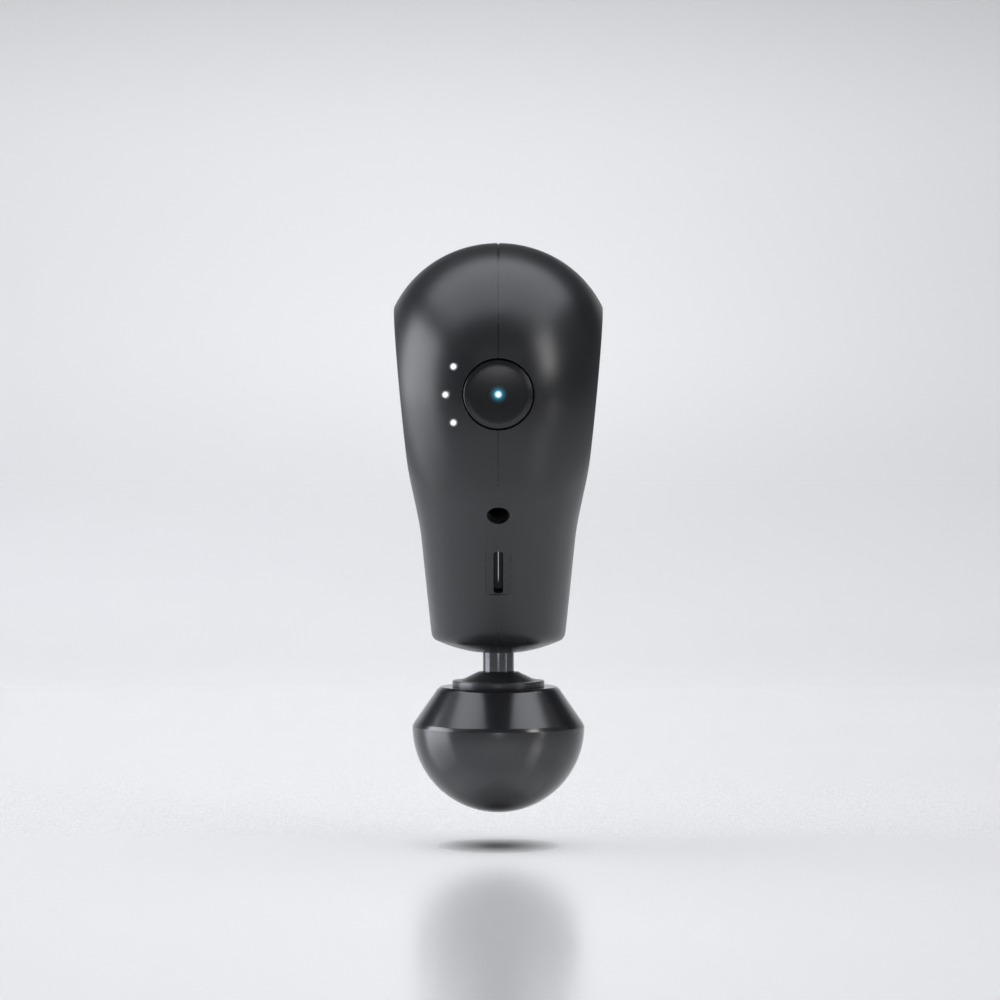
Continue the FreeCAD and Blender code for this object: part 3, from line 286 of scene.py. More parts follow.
# edge wear and glint: where a bevelled normal leaves the true one, within Reach of an edge; the lighter edges are
# wear, and on the socket also a painted glint
edge_wear_and_glint, start, end = new_group("edge wear and glint", ["Mask"], Reach=0.0004)
bevel = add(edge_wear_and_glint, "ShaderNodeBevel", {"Radius": start["Reach"]}, samples=4)
true_normal = add(edge_wear_and_glint, "ShaderNodeNewGeometry").outputs["Normal"]
same = add(edge_wear_and_glint, "ShaderNodeVectorMath", {0: bevel.outputs["Normal"], 1: true_normal}, operation="DOT_PRODUCT")
turned_away = ranged(edge_wear_and_glint, maths(edge_wear_and_glint, "SUBTRACT", 1.0, same.outputs["Value"]), 0.01, 0.25)
broken = ranged(edge_wear_and_glint, noise(edge_wear_and_glint, start["Position"], 900.0, 3.0), 0.3, 0.65)
feed(edge_wear_and_glint, end, {"Mask": times(edge_wear_and_glint, turned_away, broken)})

# settled dust: faint specks on surfaces that face up
dust, start, end = new_group("settled dust", ["Mask"], Amount=0.1)
upward = ranged(dust, split(dust, add(dust, "ShaderNodeNewGeometry").outputs["Normal"], "Z"), 0.2, 1.0)
specks = ranged(dust, noise(dust, start["Position"], 1400.0, 4.0), 0.5, 0.8)
feed(dust, end, {"Mask": times(dust, times(dust, upward, specks), start["Amount"])})

# turned lines: fine rings left by a lathe, as bands along an axis of the position
lathe, start, end = new_group("turned lines", ["Height"], Per_metre=6000.0)
ringed = add(lathe, "ShaderNodeCombineXYZ", {"Z": split(lathe, start["Position"], "Z")}).outputs[0]
feed(lathe, end, {"Height": noise(lathe, ringed, start["Per metre"], 3.0)})

# painted light and shade disc: a soft disc round the Y-parallel line through Centre, 1 in the middle and 0 at Reach;
# it paints the glow round the lights, the fall-off on the backdrop and the contact shadow
light_and_shade_disc, start, end = new_group("painted light and shade disc", ["Mask"], ("Position", "Centre"), Core=0.001, Reach=0.002)
away = add(light_and_shade_disc, "ShaderNodeVectorMath", {0: start["Position"], 1: start["Centre"]}, operation="SUBTRACT").outputs[0]
level = add(light_and_shade_disc, "ShaderNodeVectorMath", {0: away, 1: (1, 0, 1)}, operation="MULTIPLY").outputs[0]
length = add(light_and_shade_disc, "ShaderNodeVectorMath", {0: level}, operation="LENGTH").outputs["Value"]
soft = ranged(light_and_shade_disc, length, start["Core"], start["Reach"], 1.0, 0.0, smooth=False)
feed(light_and_shade_disc, end, {"Mask": maths(light_and_shade_disc, "POWER", soft, 3.0)})
print("shared effects:", [group.name for group in bpy.data.node_groups])


# %% [markdown]
# ## Finishes: one builder, many surfaces
#
# The builder takes what sets one surface apart from another: its two tones, how rough it is,
# how deep and how fine its grain is, how far wear reaches from an edge. The shader itself stays
# in the material, and numbers that don't change over the surface are set on its own sockets.


# %% The finish builder
def tone(red, green=None, blue=None):
    """An opaque colour from one grey value or three."""
    if green is None:
        green = blue = red
    return (red, green, blue, 1.0)


def start_finish(name, **constants):
    """A material, its tree, its shader with some constants set, and the position its patterns read."""
    material = bpy.data.materials.new(name)
    material.use_nodes = True
    tree = material.node_tree
    shader = tree.nodes["Principled BSDF"]
    shade_by(tree, shader, **constants)
    return material, tree, shader, add(tree, "ShaderNodeTexCoord").outputs["Object"]


def shade_by(tree, shader, **values):
    """The shader's inputs, set or linked."""
    feed(tree, shader.inputs, spaced(values))


def bumped(tree, height, depth):
    """A height in units of depth, in metres, turned into a normal."""
    return add(tree, "ShaderNodeBump", {"Height": height, "Distance": depth, "Strength": 1.0}).outputs["Normal"]


def moulded(name, dark, light, rough, scale=3000.0, depth=8e-6, reach=0.0, handled=0.08, dusty=0.0, **constants):
    """Moulded plastic or rubber: two tones by grain, patches of changed gloss, wear and dust."""
    material, tree, shader, position = start_finish(name, **constants)
    grained = placed(tree, grain, position, Scale=scale)
    colour = blended(tree, grained["Speckle"], tone(*dark), tone(*light))
    gloss = placed(tree, patches, position, Scale=35.0)["Mask"]
    roughness = ranged(tree, gloss, 0.0, 1.0, rough + handled, rough - handled, smooth=False)
    if reach:
        mask = placed(tree, edge_wear_and_glint, position, Reach=reach)["Mask"]
        colour = blended(tree, times(tree, mask, 0.5), colour, tone(*[c * 2.2 for c in light]))
        roughness = maths(tree, "SUBTRACT", roughness, times(tree, mask, 0.12))
    if dusty:
        mask = placed(tree, dust, position, Amount=dusty)["Mask"]
        colour = blended(tree, mask, colour, tone(0.32, 0.31, 0.3))
    normal = bumped(tree, grained["Height"], depth)
    shade_by(tree, shader, Base_Color=colour, Roughness=roughness, Normal=normal)
    return material, tree, shader, position


def machined(name, dark, light, rough, lines=5000.0, depth=2e-6, turn=(0, 0, 0)):
    """Worked metal: fine tool lines across Z after the turn, and patches of tarnish."""
    material, tree, shader, position = start_finish(name, Metallic=1.0)
    mapped = add(tree, "ShaderNodeMapping", {"Vector": position, "Rotation": turn}).outputs[0]
    cut_lines = placed(tree, lathe, mapped, Per_metre=lines)["Height"]
    tarnish = placed(tree, patches, position, Scale=90.0)["Mask"]
    colour = blended(tree, tarnish, tone(*dark), tone(*light))
    streaked = times_plus(tree, cut_lines, 0.12, rough - 0.06)
    shade_by(tree, shader, Base_Color=colour, Roughness=streaked, Normal=bumped(tree, cut_lines, depth))
    return material, tree, shader, position


# %% [markdown]
# ## The outside plastics
#
# The casing is a dark satin plastic with a very fine grain, with a glow painted in its emission round
# the speed lights. The side covers are the same colour with a softer, duller touch. The button is
# glossier, and a glow is painted in its emission round its lens, where the lens's light would bleed into the plastic.

# %% Casing, covers and button
BUTTON_LEVEL = 112.9
BUTTON_SPOT = (0, 0, BUTTON_LEVEL * MM)
LIGHT_CIRCLE = 13.4
LIGHT_TURNS = (148.0, 180.0, 212.0)
finishes = {}


def light_place(turn):
    """Where a speed light lies, across and up, by its angle round the button."""
    across = LIGHT_CIRCLE * math.cos(math.radians(turn))
    return across, BUTTON_LEVEL + LIGHT_CIRCLE * math.sin(math.radians(turn))


def light_glow(tree, position, core, reach):
    """A mask that is 1 at the three speed lights and falls away round each one."""
    glow = 0.0
    for turn in LIGHT_TURNS:
        across, up = light_place(turn)
        spot = (across * MM, 0.0, up * MM)
        glow = maths(tree, "ADD", placed(tree, light_and_shade_disc, position, Centre=spot, Core=core, Reach=reach)["Mask"], glow)
    return glow


finishes["casing"], tree, shader, position = moulded(
    "casing satin", (0.0105, 0.011, 0.0125), (0.0135, 0.014, 0.016), 0.31,
    scale=4200.0, depth=3e-6, reach=0.0005, handled=0.025, dusty=0.02,
)
# Painted glow: the casing's emission is lit round each speed light, on its front only, where the lights' glow would
# fall on the plastic.
glow = light_glow(tree, position, 0.0009, 0.0014)
glow = times(tree, glow, ranged(tree, split(tree, position, "Y"), -0.05, -0.06))
glow = blended(tree, glow, tone(0.0), tone(0.55, 0.57, 0.62))
shade_by(tree, shader, Emission_Color=glow, Emission_Strength=0.16)

finishes["side_cover"] = moulded(
    "side cover soft touch", (0.009, 0.0093, 0.010), (0.0125, 0.013, 0.014), 0.5,
    scale=2600.0, depth=6e-6, reach=0.0005, handled=0.05, dusty=0.03, Sheen_Weight=0.08,
)[0]

finishes["button"], tree, shader, position = moulded(
    "button gloss", (0.0085, 0.009, 0.0105), (0.0105, 0.011, 0.0125), 0.25,
    scale=5200.0, depth=1.5e-6, reach=0.0003, handled=0.03,
)
# Painted glow: the button's emission is lit round its lens, where the lens's light would bleed into the plastic.
halo = placed(tree, light_and_shade_disc, position, Centre=BUTTON_SPOT, Core=0.0009, Reach=0.0028)["Mask"]
halo = blended(tree, halo, tone(0.0), tone(0.02, 0.28, 0.42))
shade_by(tree, shader, Emission_Color=halo, Emission_Strength=0.8)
print("outside plastics:", list(finishes))


# %% [markdown]
# ## Lights, lens and window
#
# The speed lights and the lens are lit plastics. A real one is brightest in its middle and
# falls off to the rim, where the wall of the hole shades it. The window is a smoked bar with a
# thin line of light painted in its emission down the middle of its upper part.

# %% Lit and smoked plastics
def lit(name, middle, rim, strength, core=0.0, reach=0.02, three=False):
    """A light guide's end: a bright middle that falls off to its rim, and faint moulding specks.

    The middle is the button's axis, or the three speed lights.
    """
    material, tree, shader, position = start_finish(name)
    if three:
        mask = light_glow(tree, position, core, reach)
    else:
        mask = placed(tree, light_and_shade_disc, position, Centre=BUTTON_SPOT, Core=core, Reach=reach)["Mask"]
    speckle = placed(tree, grain, position, Scale=2500.0)["Speckle"]
    glow = blended(tree, times_plus(tree, speckle, 0.06, mask), tone(*rim), tone(*middle))
    body = blended(tree, speckle, tone(0.25), tone(0.35))
    shade_by(tree, shader, Emission_Color=glow, Base_Color=body, Emission_Strength=strength, Roughness=0.25)
    return material


finishes["button_lens"] = lit("button lens lit", (0.92, 1.0, 1.0), (0.03, 0.25, 0.34), 1.3, 0.0003, 0.0012)
finishes["light_guide"] = lit(
    "speed light guide", (1.0, 1.0, 1.0), (0.03, 0.03, 0.035), 1.5, 0.0004, 0.001, three=True
)
finishes["light"] = lit("lamp die", (1.0, 0.98, 0.9), (0.8, 0.85, 1.0), 1.2)

finishes["window"], tree, shader, position = start_finish("smoked window", Specular_IOR_Level=0.12)
swirl = placed(tree, patches, position, Scale=120.0)["Mask"]
smoke = blended(tree, swirl, tone(0.003, 0.003, 0.0035), tone(0.006, 0.006, 0.007))
# Painted light: a thin bright line in the window's emission, down the middle of its upper part.
side_fall = ranged(tree, maths(tree, "ABSOLUTE", split(tree, position, "X")), 0.00004, 0.00014, 1.0, 0.0)
level = split(tree, position, "Z")
painted_streak = times(tree, side_fall, ranged(tree, level, 0.0730, 0.0735, 1.0, 0.0))
painted_streak = times(tree, painted_streak, ranged(tree, level, 0.0642, 0.0662))
painted_streak = blended(tree, painted_streak, tone(0.0), tone(0.8, 0.82, 0.86))
gloss = ranged(tree, swirl, 0.0, 1.0, 0.16, 0.1)
shade_by(tree, shader, Base_Color=smoke, Roughness=gloss, Emission_Color=painted_streak, Emission_Strength=0.5)

# %% [markdown]
# ## Metals, rubbers and foam
#
# The shaft is ground and polished dark steel, the frame is cast, the bushes are brass. The head
# is a dense moulded foam with a closed skin, so it shines softly and has only the faintest
# pores. Each finish is kept under the name of the slot that it fills.

# %% Working parts
ON_SIDE = (math.pi / 2, 0, 0)
made = {
    "plunger_steel": machined(
        "ground shaft steel", (0.085, 0.087, 0.092), (0.12, 0.123, 0.13), 0.12, lines=9000.0, depth=2e-7
    ),
    "head_foam": moulded(
        "head foam skin", (0.0105, 0.011, 0.0135), (0.0135, 0.014, 0.0165), 0.21, scale=3400.0, depth=2e-6,
        reach=0.0006, handled=0.02, dusty=0.01, Specular_IOR_Level=0.75, Coat_Weight=0.25, Coat_Roughness=0.14,
    ),
    "head_plastic": moulded(
        "head core plastic", (0.026, 0.027, 0.030), (0.031, 0.032, 0.036), 0.28,
        scale=3800.0, depth=3e-6, reach=0.0004, handled=0.04, Specular_IOR_Level=0.8,
    ),
    "trim_plastic": moulded("nose ring plastic", (0.008, 0.008, 0.009), (0.012, 0.012, 0.013), 0.28, reach=0.0003),
    "seal_rubber": moulded(
        "seal rubber", (0.006, 0.006, 0.006), (0.012, 0.012, 0.012), 0.62,
        scale=2200.0, depth=1e-5, Sheen_Weight=0.1,
    ),
    # The socket's lighter edges are partly wear and partly a painted glint along its rim.
    "black_plastic": moulded("socket plastic", (0.006, 0.006, 0.0065), (0.010, 0.010, 0.011), 0.2, reach=0.0002),
    "switch_stem": moulded("switch stem nylon", (0.30, 0.02, 0.02), (0.42, 0.04, 0.03), 0.42),
    "plug_plastic": moulded("plug nylon", (0.55, 0.52, 0.44), (0.68, 0.65, 0.56), 0.45, reach=0.0002),
    "cell_sleeve": moulded(
        "cell sleeve", (0.02, 0.07, 0.17), (0.03, 0.10, 0.22), 0.28, scale=800.0, depth=6e-6, Coat_Weight=0.4,
        Coat_Roughness=0.1,
    ),
    "frame_metal": moulded(
        "cast frame metal", (0.33, 0.33, 0.34), (0.46, 0.46, 0.47), 0.42,
        scale=1800.0, depth=1.2e-5, reach=0.0004, Metallic=1.0,
    ),
    "screw_steel": machined("screw steel", (0.10, 0.10, 0.11), (0.20, 0.20, 0.21), 0.33, turn=(0, math.pi / 2, 0)),
    "bush_brass": machined("bush brass", (0.48, 0.33, 0.12), (0.62, 0.45, 0.19), 0.3),
    "bearing_steel": machined("bearing steel", (0.42, 0.42, 0.43), (0.58, 0.58, 0.6), 0.2, turn=ON_SIDE),
    "core_steel": machined(
        "core laminations", (0.20, 0.19, 0.18), (0.31, 0.30, 0.28), 0.45, lines=1600.0, depth=3e-5, turn=ON_SIDE
    ),
    "copper_wire": machined(
        "copper winding", (0.50, 0.19, 0.07), (0.68, 0.30, 0.12), 0.32, lines=1500.0, depth=8e-5, turn=(0.4, 0.2, 0)
    ),
    "magnet": machined("magnet plating", (0.36, 0.35, 0.33), (0.48, 0.47, 0.45), 0.24, lines=2600.0),
    "capacitor_can": machined("capacitor can", (0.40, 0.41, 0.43), (0.55, 0.56, 0.58), 0.27, turn=(0, 0, 0.3)),
    "contact": machined("plated contact", (0.55, 0.53, 0.48), (0.72, 0.70, 0.64), 0.2, lines=7000.0),
}
finishes.update({slot: finish[0] for slot, finish in made.items()})
print("slots with a finish:", len(finishes))

# %% [markdown]
# ## Circuit boards and leads
#
# A board is green lacquer over copper. Square cells drawn by their borders read as tracks, and
# small rounds as plated holes. A lead is one jacket colour, told apart by what it serves.


# %% Circuit boards and leads
def board_material():
    """Lacquer over copper: square cells' borders read as tracks, small rounds as holes."""
    material, tree, shader, position = start_finish("board lacquer", Coat_Weight=0.5, Coat_Roughness=0.12)
    feeds = {"Vector": position, "Scale": 420.0}
    blocks = add(tree, "ShaderNodeTexVoronoi", feeds, feature="F1", distance="CHEBYCHEV")
    tracks = ranged(tree, blocks.outputs["Distance"], 0.42, 0.48)
    rounds = add(tree, "ShaderNodeTexVoronoi", {"Vector": position, "Scale": 260.0}, feature="F1")
    holes = ranged(tree, rounds.outputs["Distance"], 0.14, 0.1, 0.0, 1.0)
    fine = placed(tree, grain, position, Scale=2600.0)
    colour = blended(tree, fine["Speckle"], tone(0.006, 0.028, 0.016), tone(0.01, 0.04, 0.022))
    colour = blended(tree, tracks, colour, tone(0.02, 0.085, 0.04))
    colour = blended(tree, holes, colour, tone(0.55, 0.42, 0.2))
    normal = bumped(tree, maths(tree, "ADD", tracks, fine["Height"]), 1.2e-5)
    gloss = ranged(tree, tracks, 0.0, 1.0, 0.42, 0.3)
    shade_by(tree, shader, Base_Color=colour, Roughness=gloss, Normal=normal)
    return material


finishes["board"] = board_material()
lead_tones = {
    "motor_leads": ("lead blue", (0.02, 0.05, 0.30), (0.03, 0.08, 0.40)),
    "battery_leads": ("lead red", (0.32, 0.015, 0.012), (0.45, 0.03, 0.02)),
    "inlet_leads": ("lead black", (0.01, 0.01, 0.01), (0.02, 0.02, 0.02)),
    "button_leads": ("lead white", (0.55, 0.55, 0.53), (0.7, 0.7, 0.68)),
    "indicator_leads": ("lead yellow", (0.55, 0.38, 0.03), (0.7, 0.5, 0.06)),
}
lead_finishes = {
    node: moulded(*tones, 0.38, scale=1500.0, depth=1e-5, handled=0.06)[0] for node, tones in lead_tones.items()
}
print("finishes:", len(bpy.data.materials))

# %% [markdown]
# ## The casing's form
#
# Seen from the side, the casing is a triangle with three rounded corners. Seen from the front,
# it is crowned: each slice further from the middle is the same triangle drawn inwards. So two
# numbers place any point: how far round the outline it lies, and how far across the width.
#
# The two flat sides lean together towards the nose. That is the same as turning each slice
# about a level line far below, so the casing narrows as it comes down.

# %% Measures of the casing
FRONT_CORNER = (-25.7, 112.9, 41.8)  # front to back, height, radius
BACK_CORNER = (25.7, 112.9, 41.8)
LOW_CORNER = (0.0, 54.148, 20.0)
CROWN = 33.6
HALF_WIDTH = 28.44
PIVOT = -149.0
LEAN = HALF_WIDTH / 293.2
EDGE_ROUND = 1.6
WALL = 2.3
SIDE_WALL = 3.2
WINDOW_LEVEL = 67.0
TILT = math.radians(43.5)
FACE_DEGREES = 180 + math.degrees(TILT)
FACE_OUT = np.array([0.0, -math.cos(TILT), -math.sin(TILT)])
FACE_UP = np.array([0.0, -math.sin(TILT), math.cos(TILT)])


def outline_stops():
    """Stops round the triangle, as columns: front to back, height, radius and angle of a corner.

    On a corner only the angle runs. On a straight line the angle stands still while the corner
    runs from one end's to the other's, because both ends touch the line at the same angle.
    """
    down = np.concatenate([stops(44, 0, 0.74), stops(46, 0.74, 1)])
    runs = [
        (FRONT_CORNER, FRONT_CORNER, 90, FACE_DEGREES, stops(96)),
        (FRONT_CORNER, LOW_CORNER, FACE_DEGREES, FACE_DEGREES, down),
        (LOW_CORNER, LOW_CORNER, FACE_DEGREES, 540 - FACE_DEGREES, stops(48)),
        (LOW_CORNER, BACK_CORNER, 540 - FACE_DEGREES, 540 - FACE_DEGREES, 1 - np.append(down[1:], 1.0)[::-1]),
        (BACK_CORNER, BACK_CORNER, 540 - FACE_DEGREES, 450, stops(96)),
        (BACK_CORNER, FRONT_CORNER, 90, 90, stops(44)),
    ]
    columns = []
    for corner, following, turn, turn_end, share in runs:
        share = share[:, None]
        place = np.array(corner) * (1 - share) + np.array(following) * share
        columns.append(np.concatenate([place, turn * (1 - share) + turn_end * share], axis=1))
    return np.concatenate(columns)


def crown_rows(wall, side_wall, edge, wide_stops, edge_stops):
    """(across, offset) pairs from the middle to the flat side.

    A wide arc: across = R sin t, offset = crown - R cos t. Then a small arc, tangent to it,
    whose centre lies inside the corner between the crown and the side.
    """
    radius = CROWN - wall
    edge_across = HALF_WIDTH - side_wall - edge
    edge_down = CROWN - math.sqrt((radius - edge) ** 2 - edge_across**2)
    meet = math.asin(edge_across / (radius - edge))
    wide = stops(wide_stops, 0, meet)
    small = np.linspace(meet, math.pi / 2, edge_stops)
    across = np.concatenate([radius * np.sin(wide), edge_across + edge * np.sin(small)])
    offset = np.concatenate([CROWN - radius * np.cos(wide), edge_down - edge * np.cos(small)])
    return np.stack([across, offset], axis=1)


STOPS = outline_stops()
outer_rows = crown_rows(0.0, 0.0, EDGE_ROUND, 34, 11)
SIDE_OFFSET = outer_rows[-1, 1]
print(f"{len(STOPS)} stops round the outline, {len(outer_rows)} rows to the side, flat from {SIDE_OFFSET:.2f} mm in")

# %% [markdown]
# ## The nose
#
# The casing's lower corner is cut by a shallow dome. Cutting it with a boolean would leave a
# knife edge, so the surface is drawn there by rays instead: each point is seen from inside the
# casing, and it lies where its ray meets the form or the dome, whichever is nearer. A smooth
# minimum of the two distances rounds the edge between them.

# %% Rays to the nose
NOSE_BOTTOM = 43.8
NOSE_CROSS = 41.5
NOSE_ALONG = 60.0
NOSE_EDGE = 1.7
LOW_SAG = 17.2
EYE_LEVEL = 75.0
FAR = 200.0


def nose_height(x, y, lift=0.0):
    """Height of the dome: a circle across the width, swung about a level line above it."""
    arm = NOSE_ALONG - NOSE_CROSS + np.sqrt(NOSE_CROSS**2 - x**2)
    return NOSE_BOTTOM + lift + NOSE_ALONG - np.sqrt(arm**2 - y**2)


def smooth_least(first, second, blend_width):
    """The smaller of two values, with the step between them rounded over a width."""
    nearness = np.clip(blend_width - np.abs(first - second), 0, None) / blend_width
    return np.minimum(first, second) - nearness**2 * blend_width / 4


def waist(z):
    """The share of its width that the casing keeps at a height: a little less below the battery.

    It is 1 above 97 mm, eases in to its least value at 76 mm, and opens slightly to the nose.
    """
    fall = np.clip((97.0 - z) / 21.0, 0, 1)
    opening = np.clip((76.0 - z) / 30.0, 0, 1)
    return 1.0 - 0.058 * fall**2 * (3 - 2 * fall) + 0.022 * opening


def crown_sag(across, offset, z):
    """How far the crown has dropped at a distance across: a crisp arc above, rounder below.

    Above 104 mm it is the row's own offset. Towards 78 mm it eases into an ellipse that turns
    all the way round to the side: depth x (1 - sqrt(1 - (across / half width) squared)).
    """
    share = np.clip((104.0 - z) / 26.0, 0, 1)
    share = share**2 * (3 - 2 * share)
    full = np.clip(1 - (across / HALF_WIDTH) ** 2, 0, None)
    round_sag = np.maximum(LOW_SAG * (1 - np.sqrt(full)), np.where(across >= HALF_WIDTH, offset, 0.0))
    return offset * (1 - share) + round_sag * share


def casing_points(rows, lift=0.0, blend_width=NOSE_EDGE, rounder=True):
    """Points of the casing's skin at (across, offset) rows, rounded into the nose.

    Slice angle a = atan(across / half width x lean); distance from the pivot line d; then
    x = d sin a and z = pivot + d cos a, with y and d from the outline drawn in by the offset.
    """
    across, offset = rows[:, :1], rows[:, 1:2]
    depth, level, radius, turn = STOPS.T
    turn = np.radians(turn)
    slice_turn = np.arctan(across / HALF_WIDTH * LEAN)
    sag = offset + 0 * turn
    for _ in range(6 if rounder else 0):
        z = PIVOT + (level + (radius - sag) * np.sin(turn) - PIVOT) * np.cos(slice_turn)
        sag = crown_sag(across, offset, z)
    y = depth + (radius - sag) * np.cos(turn)
    distance = level + (radius - sag) * np.sin(turn) - PIVOT
    points = np.stack([distance * np.sin(slice_turn), y, PIVOT + distance * np.cos(slice_turn)], axis=-1)
    points[..., 0] *= waist(points[..., 2])
    eye = np.stack([0.8 * points[..., 0], 0 * y, EYE_LEVEL + 0 * y], axis=-1)
    ray = points - eye
    reach = np.linalg.norm(ray, axis=-1)
    ray /= reach[..., None]
    falling = ray[..., 2] < -0.25
    drop = np.where(falling, ray[..., 2], -1.0)
    guess = (EYE_LEVEL - NOSE_BOTTOM - lift) / -drop
    for _ in range(12):
        spot = eye + ray * guess[..., None]
        height = nose_height(np.clip(spot[..., 0], -30, 30), np.clip(spot[..., 1], -40, 40), lift)
        guess = guess + (height - spot[..., 2]) / drop * 0.9
    to_dome = np.where(falling, guess, FAR)
    return eye + ray * smooth_least(reach, to_dome, blend_width)[..., None]


# %% [markdown]
# ## The two half shells
#
# One grid makes a whole half: it starts in the middle of the inner side wall, runs along the
# inside to the parting plane, crosses to the outside, drops into the narrow groove at the seam,
# follows the crown out to the flat side and ends in the recess for the side cover.

# %% Half shells
SEAM_HALF = 0.17
SEAM_DEPTH = 0.35
COVER_PLATE = 1.2
COVER_MARGIN = 1.35
COVER_GAP = 0.2
SIDE_TURN = math.atan(LEAN)


def closing_rows(ring, shares):
    """Rows that draw a flat ring in to its middle, by shares of the way."""
    middle = ring.mean(axis=0)
    return np.stack([ring * (1 - share) + middle * share for share in shares])


def side_rows(offsets, depths):
    """Rows in the plane of the flat side, sunk into it by depths along its normal."""
    flat = np.stack([np.full(len(offsets), HALF_WIDTH), np.array(offsets)], axis=1)
    points = casing_points(flat, blend_width=0.01)
    inward = np.array([-math.cos(SIDE_TURN), 0.0, math.sin(SIDE_TURN)])
    return points + np.array(depths)[:, None, None] * inward


def half_shell_points():
    """The right half's grid of points, from pole to pole."""
    inner = casing_points(crown_rows(WALL, SIDE_WALL, 0.4, 18, 3), lift=2.6, rounder=False)[::-1]
    groove_sunk = np.array([SEAM_DEPTH, 0.09, 0.025, 0.0])
    groove_x = np.array([SEAM_HALF, SEAM_HALF, SEAM_HALF + 0.03, SEAM_HALF + 0.1])
    groove = np.stack([casing_points(np.array([[x, d]]), lift=d)[0] for x, d in zip(groove_x, groove_sunk)])
    groove[..., 0] = groove_x[:, None]
    floor = casing_points(np.array([[0.0, SEAM_DEPTH]]), lift=SEAM_DEPTH)
    outer = casing_points(outer_rows[1:])
    brim = np.linspace(SIDE_OFFSET + 0.15, SIDE_OFFSET + COVER_MARGIN - COVER_GAP - 0.12, 4)
    brim_rows = casing_points(np.stack([np.full(4, HALF_WIDTH), brim], axis=1))
    edge = SIDE_OFFSET + COVER_MARGIN - COVER_GAP
    lip = side_rows([edge - 0.05, edge - 0.01, edge, edge], [0.012, 0.05, 0.12, COVER_PLATE])
    start = closing_rows(inner[0], [1.0, 0.7, 0.35])
    end = closing_rows(lip[-1], [0.35, 0.7, 1.0])
    return np.concatenate([start, inner, floor, groove, outer, brim_rows, lip, end])


right_points = half_shell_points()
left_points = right_points * np.array([-1.0, 1.0, 1.0])
right_mesh = mesh_from(right_points, "right_half_shell", crisp=28)
left_mesh = mesh_from(left_points, "left_half_shell", crisp=28)
print("casing, mm:", right_points.reshape(-1, 3).min(0).round(2), right_points.reshape(-1, 3).max(0).round(2))

# %% [markdown]
# ## Cutters that follow the surface
#
# A hole in a moulding has a slightly rounded lip. The cutter for it is a plug whose upper rows
# flare out by that rounding, and each row is laid at a constant depth below the curved surface,
# so the lip is equally wide all the way round. The exact outline of the front of the casing is
# known, so the depth of the surface under any point is too.


# %% The front surface
CLEAR_FRONT = -75.0  # in front of the casing
ABOVE = 3.0  # off its front face
UNDER_NOSE = 38.0
OVER_NOSE = 52.0


def front_depth(x, z):
    """Front-to-back place of the casing's front at (x, z), above the nose."""
    distance = np.hypot(x, z - PIVOT)
    across = x / waist(z) / (z - PIVOT) * HALF_WIDTH / LEAN
    offset = crown_sag(across, CROWN - np.sqrt(CROWN**2 - across**2), z)
    level = distance + PIVOT
    depth, centre, radius = FRONT_CORNER
    radius = radius - offset
    touch = centre - radius * math.sin(TILT)
    rise = np.clip(level - centre, -radius, radius)
    on_corner = depth - np.sqrt(radius**2 - rise**2)
    on_face = depth - radius * math.cos(TILT) + (touch - level) * math.tan(TILT)
    return np.where(level > touch, on_corner, on_face)


def face_spot(level):
    """The point of the front face's middle line at a height."""
    return np.array([0.0, float(front_depth(np.array(0.0), np.array(level))), level])


def lip_rows(radius, rounding, count=5):
    """(radius, depth) pairs of a lip, a quarter circle that starts a little off the surface."""
    turn = np.radians(np.linspace(24, 90, count))
    return np.stack([radius + rounding * (1 - np.sin(turn)), rounding * (1 - np.cos(turn)) - 0.1 * rounding], axis=1)


def circle(turns):
    """Points of a unit circle."""
    turn = stops(turns, 0, 2 * math.pi)
    return np.stack([np.cos(turn), np.sin(turn)], axis=-1)


def round_cutter(name, centre_x, centre_z, radius, rounding, deep, turns=120):
    """A plug along Y: lip rows below the front surface, closed by flat ends in front and behind."""
    ring = circle(turns)

    def round_at(size, y=0.0):
        return np.stack([centre_x + size * ring[:, 0], y + 0 * ring[:, 0], centre_z + size * ring[:, 1]], axis=-1)

    lip = lip_rows(radius, rounding)
    wide = lip[0, 0] + rounding * 0.4
    brow = round_at(wide)
    brow[:, 1] = front_depth(brow[:, 0], brow[:, 2]) - 0.25 * rounding
    rows = np.stack([round_at(size) for size in lip[:, 0]])
    rows[..., 1] = front_depth(rows[..., 0], rows[..., 2]) + lip[:, 1:]
    near = np.stack([round_at(0, CLEAR_FRONT), round_at(wide, CLEAR_FRONT), brow])
    return mesh_from(np.concatenate([near, rows, [round_at(radius, deep), round_at(0, deep)]]), name)


def slot_outline(width, length, corner, corner_stops=9, side_stops=5):
    """A rounded rectangle as (across, along) pairs, with stops on its straight sides too."""
    corner = max(min(corner, width / 2 - 1e-4, length / 2 - 1e-4), 1e-4)
    half_w, half_l = max(width / 2 - corner, 0), length / 2 - corner
    pieces = []
    middles = [(half_w, half_l), (-half_w, half_l), (-half_w, -half_l), (half_w, -half_l)]
    for index, middle in enumerate(middles):
        curve = arc_points(middle, corner, 90 * index, 90 * index + 90, corner_stops)
        following = middles[(index + 1) % 4]
        start = curve[-1]
        turn = math.radians(90 * index + 90)
        end = np.array(following) + corner * np.array([math.cos(turn), math.sin(turn)])
        share = np.linspace(0, 1, side_stops + 2)[1:-1, None]
        pieces += [curve, start * (1 - share) + end * share]
    return np.concatenate(pieces)


def on_face(outline, sunk, level):
    """An outline laid on the front face, sunk by a depth; the crown's sag is followed."""
    across = outline[:, 0] / waist(np.array(level)) * HALF_WIDTH / LEAN / (level - PIVOT)
    sag = crown_sag(across, CROWN - np.sqrt(CROWN**2 - across**2), level + outline[:, 1] * math.cos(TILT))
    return flat_on_face(outline, (sag + sunk)[:, None], level)


